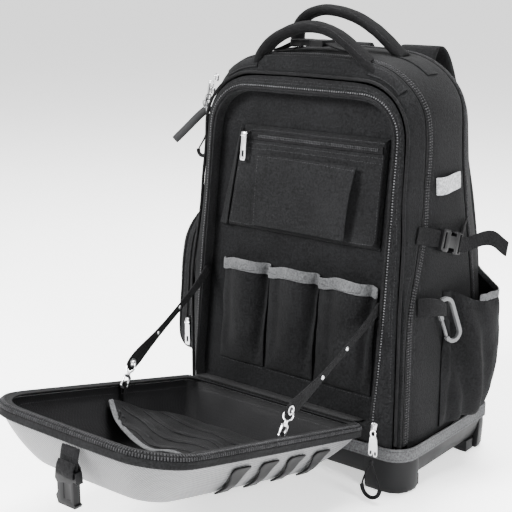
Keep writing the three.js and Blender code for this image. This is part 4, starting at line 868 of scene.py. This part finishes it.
webbing = woven("black webbing", (0.0044, 0.0044, 0.0047), pitch=1.7, strength=0.6)
strap = rounded("tray_buckle_strap", "front_strap", levels=2)
dress(strap, webbing, node="tray_buckle_strap")
buckle_plastic = moulded("black buckle moulding", (0.0042, 0.0042, 0.0045), rough=0.4)
buckle = carved("tray_buckle", "front_buckle", [
    ((13, 0, 0), (4.4, 25, 20)), ((-3, 13, 0), (8.5, 9, 5.2)), ((-3, -13, 0), (8.5, 9, 5.2)),
    ((1.5, 0, 5), (10, 17, 2.2)), ((-17.5, 0, 5), (1.4, 20, 2))])
middle, long_way, wide_way, out_way = own_axes(buckle)
dress(buckle, buckle_plastic, node="tray_buckle", angle=35)
HALF_WRAP = [(1.5, 29), (4.4, 24), (5.1, 17), (4.2, 14.8), (1.5, 14.3)]
BAR_WRAP = HALF_WRAP + [(-out, up) for out, up in HALF_WRAP[::-1]]
WRAP_HALF, WRAP_THICK = 12.2, 1.3
wrap = [middle + (out_way * out + long_way * up) / 1000 for out, up in BAR_WRAP]
wrap_places = []
for i, where in enumerate(wrap):
    direction = (wrap[min(i + 1, len(wrap) - 1)] - wrap[max(i - 1, 0)]).normalized()
    wrap_places.append((where, direction, wide_way.cross(direction)))
ribbon("front_buckle_wrap", wrap_places, WRAP_HALF, WRAP_THICK, webbing)

# Pockets on the tool panel: a flat zip pocket above three open tool pockets whose edges are bound
# in grey. The tool pockets bulge and hang in soft upright folds.
pocket_cloth = woven("black pocket nylon", (0.0052, 0.0053, 0.0056), pitch=1.3)
zip_pocket = rounded("zip_pocket", "zip_pocket_cloth", levels=3, crease=0.5)
rumple(zip_pocket, 1.6, 40, "Y")
dress(zip_pocket, pocket_cloth, node="zip_pocket")
POCKET_MIDDLES = [-72, 2, 81]
POCKET_FOLDS = [(-6, 4, 17), (5, 25, 5), (-3.5, 34, 5), (2.5, -20, 7)]


def pocket_slack(x, y, z):
    """Each pocket bulges off centre, with a deep upright fold beside it and a slack edge above."""
    loose = smooth_step(z, 112, 160)
    move = 0
    for middle in POCKET_MIDDLES:
        lean = x - middle - 0.05 * (z - 115)
        for depth, across, width in POCKET_FOLDS:
            move += depth * bell(lean, across, width)
    rise = 3 * math.sin((x + 10) / 12) * smooth_step(z, 190, 245)
    return (0, move * loose, rise)


for i in range(1, 4):
    pocket = rounded(f"tool_pocket_{i}", f"tool_pocket_cloth_{i}", levels=3, crease=0.4)
    rumple(pocket, 5, 38, "Y")
    bent(pocket, pocket_slack)
    dress(pocket, pocket_cloth, node=f"tool_pocket_{i}")
tool_binding = rounded("tool_pocket_binding", "tool_pocket_edge", levels=3, crease=0.4)
rumple(tool_binding, 5, 38, "Y")
bent(tool_binding, pocket_slack)
dress(tool_binding, grosgrain, node="tool_pocket_binding")


def zip_pocket_side(up):
    return -106 + 14 * (up - 200) / 127


def patch_place(across, up):
    x, height = -63 + (138 + 8 * up) * across, 206 + 86 * up
    loose = smooth_step(across, 0.6, 1) * math.sin(math.pi * (0.12 + 0.8 * up)) + 0.15 * across
    return on_panel(x, 4.4 - 7 * loose - 0.5 * math.sin(9 * across + 4 * up), height)


def gusset_place(across, up):
    height = 201 + 122 * up
    reach = 15 - 9 * up
    return on_panel(zip_pocket_side(height) + 1.5 - reach * across, 6.5 + 6.5 * across, height)


patch = cloth_sheet("zip_pocket_patch", patch_place, 36, 20, 1.4, pocket_cloth)
cloth_sheet("zip_pocket_gusset", gusset_place, 8, 30, 1.2, pocket_cloth)


def panel_stitch(name, piece, start, end, thread=None, back=-4):
    (x0, up0), (x1, up1) = start, end
    line = [on_panel(x0 + (x1 - x0) * i / 20, back, up0 + (up1 - up0) * i / 20) for i in range(21)]
    stitch(name, piece, line, thread)


for name, start, end in (("top", (-88, 323), (113, 323)), ("upper", (-88, 305), (113, 305)),
                         ("lower", (-90, 299), (113, 299)), ("bottom", (-100, 203.5), (113, 203.5)),
                         ("right", (113.5, 206), (113.5, 320)), ("left", (-100, 206), (-90, 298))):
    panel_stitch("zip_pocket_stitch_" + name, zip_pocket, start, end, grey_thread)
for name, start, end in (("left", (-61, 208), (-61, 290)), ("top", (-60, 290), (82, 290))):
    panel_stitch("zip_patch_stitch_" + name, patch, start, end, grey_thread, back=-12)
panel_stitch("tool_binding_stitch", tool_binding, (-106, 151), (120, 151), grey_thread, back=-14)
for i, (left, right) in enumerate(((-105, -40), (-31, 35), (43, 119)), 1):
    panel_stitch(f"tool_pocket_foot_stitch_{i}", panel, (left, 27), (right, 27), grey_thread)
pocket_zip = crisp("zip_pocket_zip", "zip_pocket_band", bevel=0.4)
dress(pocket_zip, tape, node="zip_pocket_zip", angle=35)
zip_pocket_line = [on_panel(-74 + 4 * i, -6, 314) for i in range(46)]
coil_zip("zip_pocket_coil", pocket_zip, zip_pocket_line, 1.0, fine_tooth_unit, 2.4)

# Bright pulls, sliders and snap hooks: small castings and pressings of plated steel with fine
# brushing. Tabs and links hang in one another from the sliders on the body's zips.
def plated(name, colour, rough):
    material, nodes, links, shader = shader_of(name)
    place, stretched = object_place(nodes, links, (900, 900, 120))
    noise = nodes.new("ShaderNodeTexNoise")
    noise.inputs["Scale"].default_value = 1
    noise.inputs["Detail"].default_value = 3
    links.new(stretched, noise.inputs["Vector"])
    shaded(nodes, links, shader, noise.outputs["Fac"], 0.08, 0.0002,
           [0.8 * c for c in colour], colour, noise.outputs["Fac"])
    uneven = calculate(nodes, links, "MULTIPLY", noise.outputs["Fac"], 0.2)
    links.new(calculate(nodes, links, "ADD", uneven, rough), shader.inputs["Roughness"])
    shader.inputs["Metallic"].default_value = 1
    return material


steel = plated("bright plated steel", (0.52, 0.52, 0.53), 0.2)
for node, body in (("zip_pocket_pull", "zip_pocket_pull"), ("side_pocket_pull", "side_pocket_pull"),
                   ("snap_hook_left", "bag"), ("snap_hook_right", "bag"),
                   ("snap_gate_left", "snap_gate_left"), ("snap_gate_right", "snap_gate_right")):
    bright = crisp(node, node + "_steel", bevel=0.25)
    dress(bright, steel, body, node, angle=35)


def holed_tab(name, outer, hole, shift, thick, steps=16):
    """A flat rounded tab along X with a hole near its end; outer and hole are half sizes."""
    points = []
    for (long_half, wide_half), move, z in ((outer, 0, thick / 2), (hole, shift, thick / 2),
                                            (hole, shift, -thick / 2), (outer, 0, -thick / 2)):
        for i in range(steps):
            c, s = math.cos(TAU * i / steps), math.sin(TAU * i / steps)
            points.append(Vector((move + long_half * math.copysign(abs(c) ** 0.5, c),
                                  wide_half * math.copysign(abs(s) ** 0.6, s), z)) / 1000)
    faces = [[i * steps + j, i * steps + (j + 1) % steps,
              (i + 1) % 4 * steps + (j + 1) % steps, (i + 1) % 4 * steps + j]
             for i in range(4) for j in range(steps)]
    return made_piece(name, points, faces)


tab_unit = holed_tab("one pull tab", (12.5, 2.7), (2.6, 1.3), 8.6, 1.5)
short_tab_unit = holed_tab("one short tab", (8.5, 2.6), (2.2, 1.3), 4.8, 1.5)
ring_unit = holed_tab("one link", (4.2, 3.4), (2.9, 2.2), 0, 1.3)
slider_unit = unit_block("one slider", (9, 6.6, 3.4), 0.8)
bridge_unit = unit_block("one slider bridge", (6, 2.2, 5.6), 0.6)
SLIDERS = {
    "front": ("front_zip_slider", (0.35, -0.94, 0), [(141.5, -4, 90)],
              [(140.2, -6.6, 67.5, -0.06), (145.4, -6.8, 67, 0.05)], [], [(142, -6.6, 82)]),
    "upper": ("upper_zip_slider", (-0.55, -0.83, 0.05), [(-142.5, 58, 463), (-149, 58, 446)],
              [(-152.8, 53.5, 447, -0.42)], [(-156.6, 54.5, 424.5, 0.02), (-157.6, 52.5, 432, -0.5)],
              [(-149.5, 55, 455), (-154, 54.5, 438), (-158.5, 53, 430)]),
}
for label, (node, facing, heads, tabs, short_tabs, links) in SLIDERS.items():
    normal = Vector(facing)
    places = [(at(*place), Vector((0.15, 0, 1)), normal) for place in heads]
    body = repeated(label + "_slider_bodies", slider_unit, places, steel)
    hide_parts(node)
    raised = [(where + normal * 0.0014, way, normal) for where, way, normal in places]
    repeated(label + "_slider_bridges", bridge_unit, raised, steel)
    for kind, unit, rows in (("tabs", tab_unit, tabs), ("short_tabs", short_tab_unit, short_tabs)):
        hung = [(at(x, y, z), Vector((lean, 0, -1)), normal) for x, y, z, lean in rows]
        if hung:
            repeated(f"{label}_slider_{kind}", unit, hung, steel)
    turned = []
    for i, place in enumerate(links):
        turned.append((at(*place), Vector((0, 0, 1)), Vector((0.8, -0.5, 0.3 * (-1) ** i))))
    repeated(label + "_slider_links", ring_unit, turned, steel)
for label, place, way, normal in (("zip_pocket", (-82, 37.5, 399.5), (1, 0, 0), (0, -1, 0.1)),
                                  ("side_pocket", (-180.4, 38.5, 141), (0, 0, 1), (0, -1, 0))):
    repeated(label + "_slider", slider_unit, [(at(*place), Vector(way), Vector(normal))], steel)

# Straps that hold the front pocket open: narrow webbing, riveted to the body at its upper end,
# with a pressed eyelet at its lower end for the snap hook.
def unit_turned(name, profile, steps):
    """A small turned piece round Z from radius and height pairs, in millimetres."""
    points, faces = [], []
    for i in range(steps):
        turn = TAU * i / steps
        points += [Vector((r * math.cos(turn), r * math.sin(turn), z)) / 1000 for r, z in profile]
    count = len(profile)
    for i in range(steps):
        for j in range(count - 1):
            a, b = i * count + j, (i + 1) % steps * count + j
            faces.append([a, b, b + 1, a + 1])
    return made_piece(name, points, faces)


rivet_unit = unit_turned("one rivet", [(2.7, -0.4), (2.7, 0.4), (2.2, 0.9), (1.2, 1.2), (0.02, 1.3)], 14)
eyelet_unit = unit_turned("one eyelet", [(3.3, -0.3), (3.4, 0.5), (4.3, 1), (5.4, 0.6), (5.5, -0.3)], 18)
for side, label in ((-1, "left"), (1, "right")):
    hold = rounded(f"hold_strap_{label}", f"hold_strap_webbing_{label}", levels=2, sharp=60, crease=0.8)
    dress(hold, webbing, node=f"hold_strap_{label}")
    rivets = []
    for x, y, z in ((124.2, -38, 189), (121.7, -80, 167)):
        for away in (-6, 6):
            hit, where, normal, _ = hold.closest_point_on_mesh(at(side * x + away, y, z))
            rivets.append((where, Vector((0, 0.9, 0.4)), normal))
    repeated(f"hold_strap_rivets_{label}", rivet_unit, rivets, steel)
    rings = []
    for away in (-0.9, 0.9):
        rings.append((at(side * 116.5 + away, -130, 144), Vector((0, 1, 0)), Vector((away, 0, 0))))
    repeated(f"hold_strap_eyelet_{label}", eyelet_unit, rings, steel)

# Right side: a gathered bottle pocket of nylon with a grey elastic edge, a webbing band that
# carries a clip of grey metal, the side strap with its buckle, and a bare tab of bright tape.
bottle = rounded("bottle_pocket", "bottle_pocket_cloth", levels=3, crease=0.4)
rumple(bottle, 6, 46, "X")


BOTTLE_FOLDS = [(5, 126, 6), (-7, 140, 6), (5, 154, 8), (-4, 170, 8)]


def bottle_folds(x, y, z):
    into_body = -10 * smooth_step(y, 178, 203) ** 1.5
    slope = y + 0.22 * (z - 62)
    low = 1 - smooth_step(z, 150, 232)
    fold = sum(depth * bell(slope, middle, width) for depth, middle, width in BOTTLE_FOLDS)
    gathered = 2.2 * math.sin(y / 4.5) * smooth_step(z, 190, 232) * smooth_step(y, 125, 150)
    return (into_body + fold * (0.35 + 0.65 * low) * smooth_step(x, 164, 174) + gathered, 0, 0)


bent(bottle, bottle_folds)
dress(bottle, pocket_cloth, node="bottle_pocket")
bottle_edge = rounded("bottle_pocket_trim", "bottle_pocket_binding", levels=3, crease=0.4)
rumple(bottle_edge, 6, 46, "X")
bent(bottle_edge, bottle_folds)
dress(bottle_edge, grosgrain, node="bottle_pocket_trim")
band = rounded("side_band", "side_band_webbing", levels=3, crease=0.6)
dress(band, webbing, node="side_band")
clip_metal = moulded("grey clip", (0.085, 0.086, 0.088), rough=0.4)
clip = crisp("carabiner", "clip_body", bevel=1.1, segments=3)
dress(clip, clip_metal, node="carabiner")
gate = crisp("carabiner_gate", "clip_gate", bevel=0.8, segments=3)
dress(gate, clip_metal, "carabiner_gate", "carabiner_gate")
for node in ("compression_strap", "compression_tail"):
    side_web = rounded(node, node + "_webbing", levels=3, crease=0.6)
    dress(side_web, webbing, node=node)
side_buckle = carved("compression_buckle", "side_buckle", [
    ((21, 0, 0), (3.4, 19, 20)), ((-21, 0, 0), (3.4, 19, 20)), ((-4, 0, 5), (1, 30, 2.4)),
    ((5, 9, 0), (12, 4, 20)), ((5, -9, 0), (12, 4, 20)), ((-12, 0, 5), (6, 12, 1.6))])
dress(side_buckle, buckle_plastic, node="compression_buckle", angle=35)
bright_tape = woven("silver bright tape", (0.26, 0.263, 0.27), pitch=0.8, rough=0.35)
tab = rounded("reflective_tab", "bright_side_tab", levels=2)
dress(tab, bright_tape, node="reflective_tab")

# Left side: a soft box pocket of the same nylon, sewn to the wall by a zip's tape that runs all
# round it, with corded seams beside the zip.
side_pocket = rounded("side_zip_pocket", "side_zip_pocket_cloth", levels=3, crease=0.4)
rumple(side_pocket, 4, 60)
dress(side_pocket, pocket_cloth, node="side_zip_pocket")
side_zip = rounded("side_pocket_zip", "side_pocket_zip_tape", levels=1, sharp=40, crease=1)
dress(side_zip, tape, node="side_pocket_zip")


def pocket_ring(x, grow, steps=8):
    """A rounded outline round the side pocket at a distance x from the bag's middle plane."""
    half_y, half_z, corner = 64 + grow, 101 + grow, 40 + grow
    ring = []
    for cy, cz, start in ((1, 1, 0), (-1, 1, 90), (-1, -1, 180), (1, -1, 270)):
        for i in range(steps + 1):
            turn = math.radians(start + 90 * i / steps)
            ring.append(at(x, 108.5 + cy * (half_y - corner) + corner * math.cos(turn),
                           185 + cz * (half_z - corner) + corner * math.sin(turn)))
    return ring


coil_zip("side_pocket_coil", side_zip, pocket_ring(-179, 5), 1.6, fine_tooth_unit, 2.2, closed=True)
for x, label in ((-207, "outer"), (-190, "inner")):
    edge = [where for where, _, _ in laid_on(side_pocket, pocket_ring(x, 2), 9, 0.3, closed=True)]
    tube_along("side_pocket_cord_" + label, edge, 1.5, tape, closed=True)
stitch("side_pocket_stitch", side_pocket, pocket_ring(-199, 2), grey_thread, closed=True)

# Handles: foam tubes covered in nylon with a stitched seam along each side. Each end is sewn down
# under a patch, and short straps with a ladder buckle lie between the two handles.
FRONT_HANDLE = [(-76, 496), (-62, 510), (-40, 522), (-8, 530), (28, 524), (56, 507), (78, 491)]
REAR_HANDLE = [(-67, 521), (-58, 536), (-38, 545), (-18, 547), (18, 540), (50, 524), (74, 505)]
# Painted shade: the handles' nylon is a darker copy of the body's nylon, to hold back the light that falls
# on their tops.
handle_nylon_painted_dark = woven("black handle nylon painted darker", (0.0026, 0.0026, 0.0028), sheen=0.006)
for node, line, y in (("front_handle", FRONT_HANDLE, 66), ("rear_handle", REAR_HANDLE, 124)):
    handle = rounded(node, node + "_padding", levels=2, sharp=60, crease=0.3)
    rumple(handle, 1.6, 24)
    applied(handle, "DISPLACE", strength=0.0012, mid_level=0)
    dress(handle, handle_nylon_painted_dark, node=node)
    for side in (-1, 1):
        stitch(f"{node}_stitch_{side}", handle, [at(x, y + side * 9, z + 4) for x, z in line], pitch=3)


def from_above(piece, y, start, end, steps=16):
    """Places on the top of a piece along x, each with its direction and normal."""
    found = []
    for i in range(steps + 1):
        above = at(start + (end - start) * i / steps, y, 620)
        hit, where, normal, _ = piece.ray_cast(above, Vector((0, 0, -1)))
        if hit and normal.z > 0.2:
            found.append((where + normal * 0.0002, normal))
    return [(where, (found[min(i + 1, len(found) - 1)][0] - found[max(i - 1, 0)][0]).normalized(), normal)
            for i, (where, normal) in enumerate(found)]


for name, wall, y, half, start, end in (
        ("front_right", front_side, 57, 6.5, 84, 128), ("front_left", front_side, 57, 6.5, -76, -122),
        ("rear_right", main_side, 124, 11.5, 82, 126), ("rear_left", main_side, 124, 11.5, -64, -110)):
    middle_row = from_above(wall, y, start, end)
    patch_band = ribbon("handle_patch_" + name, middle_row, half, 1.5, nylon)
    for shift, row in ((-0.75, "near"), (0.75, "far")):
        rows = [where + (normal.cross(direction).normalized() * shift * half + normal * 1.5) / 1000
                for where, direction, normal in middle_row[1:-1]]
        stitch(f"handle_patch_stitch_{name}_{row}", patch_band, rows, grey_thread)
for node in ("top_strap_left", "top_strap_right"):
    top_web = rounded(node, node + "_webbing", levels=2)
    dress(top_web, webbing, node=node)
top_buckle = carved("top_buckle", "top_buckle_moulding", [
    ((15, 0, 0), (4, 20, 20)), ((-15, 0, 0), (4, 20, 20)),
    ((4, 0, 3.5), (1.2, 30, 2)), ((-4, 0, 3.5), (1.2, 30, 2))])
dress(top_buckle, buckle_plastic, node="top_buckle", angle=35)

# Shoulder straps: long foam pads covered in nylon, sewn to the back at the top and near the base,
# with a gap behind them.
for side in ("left", "right"):
    pad = rounded(f"shoulder_strap_{side}", f"shoulder_pad_{side}", levels=3, crease=0.3)
    dress(pad, nylon, node=f"shoulder_strap_{side}")

# Cord pulls: a loop of thin cord with a moulded grip on the front zip and on the middle zip, and a
# flat rubber pull beside the upper one.
rubber = moulded("grey rubber pull", (0.012, 0.0122, 0.0128), rough=0.65)
for node, material, slot in (("front_pull_loop", webbing, "webbing"),
                             ("upper_pull_loop", webbing, "webbing"), ("rubber_pull", rubber, "clip")):
    pull = rounded(node, node + "_moulding", levels=1, sharp=60, crease=0.5)
    dress(pull, material, node=node)

# The single stitches, loops and other units that were copied aren't part of the bag.
for unit in (thread_unit, tooth_unit, fine_tooth_unit, rim_tooth_unit, rivet_unit, eyelet_unit, tab_unit,
             short_tab_unit, ring_unit, slider_unit, bridge_unit):
    bpy.data.objects.remove(unit)
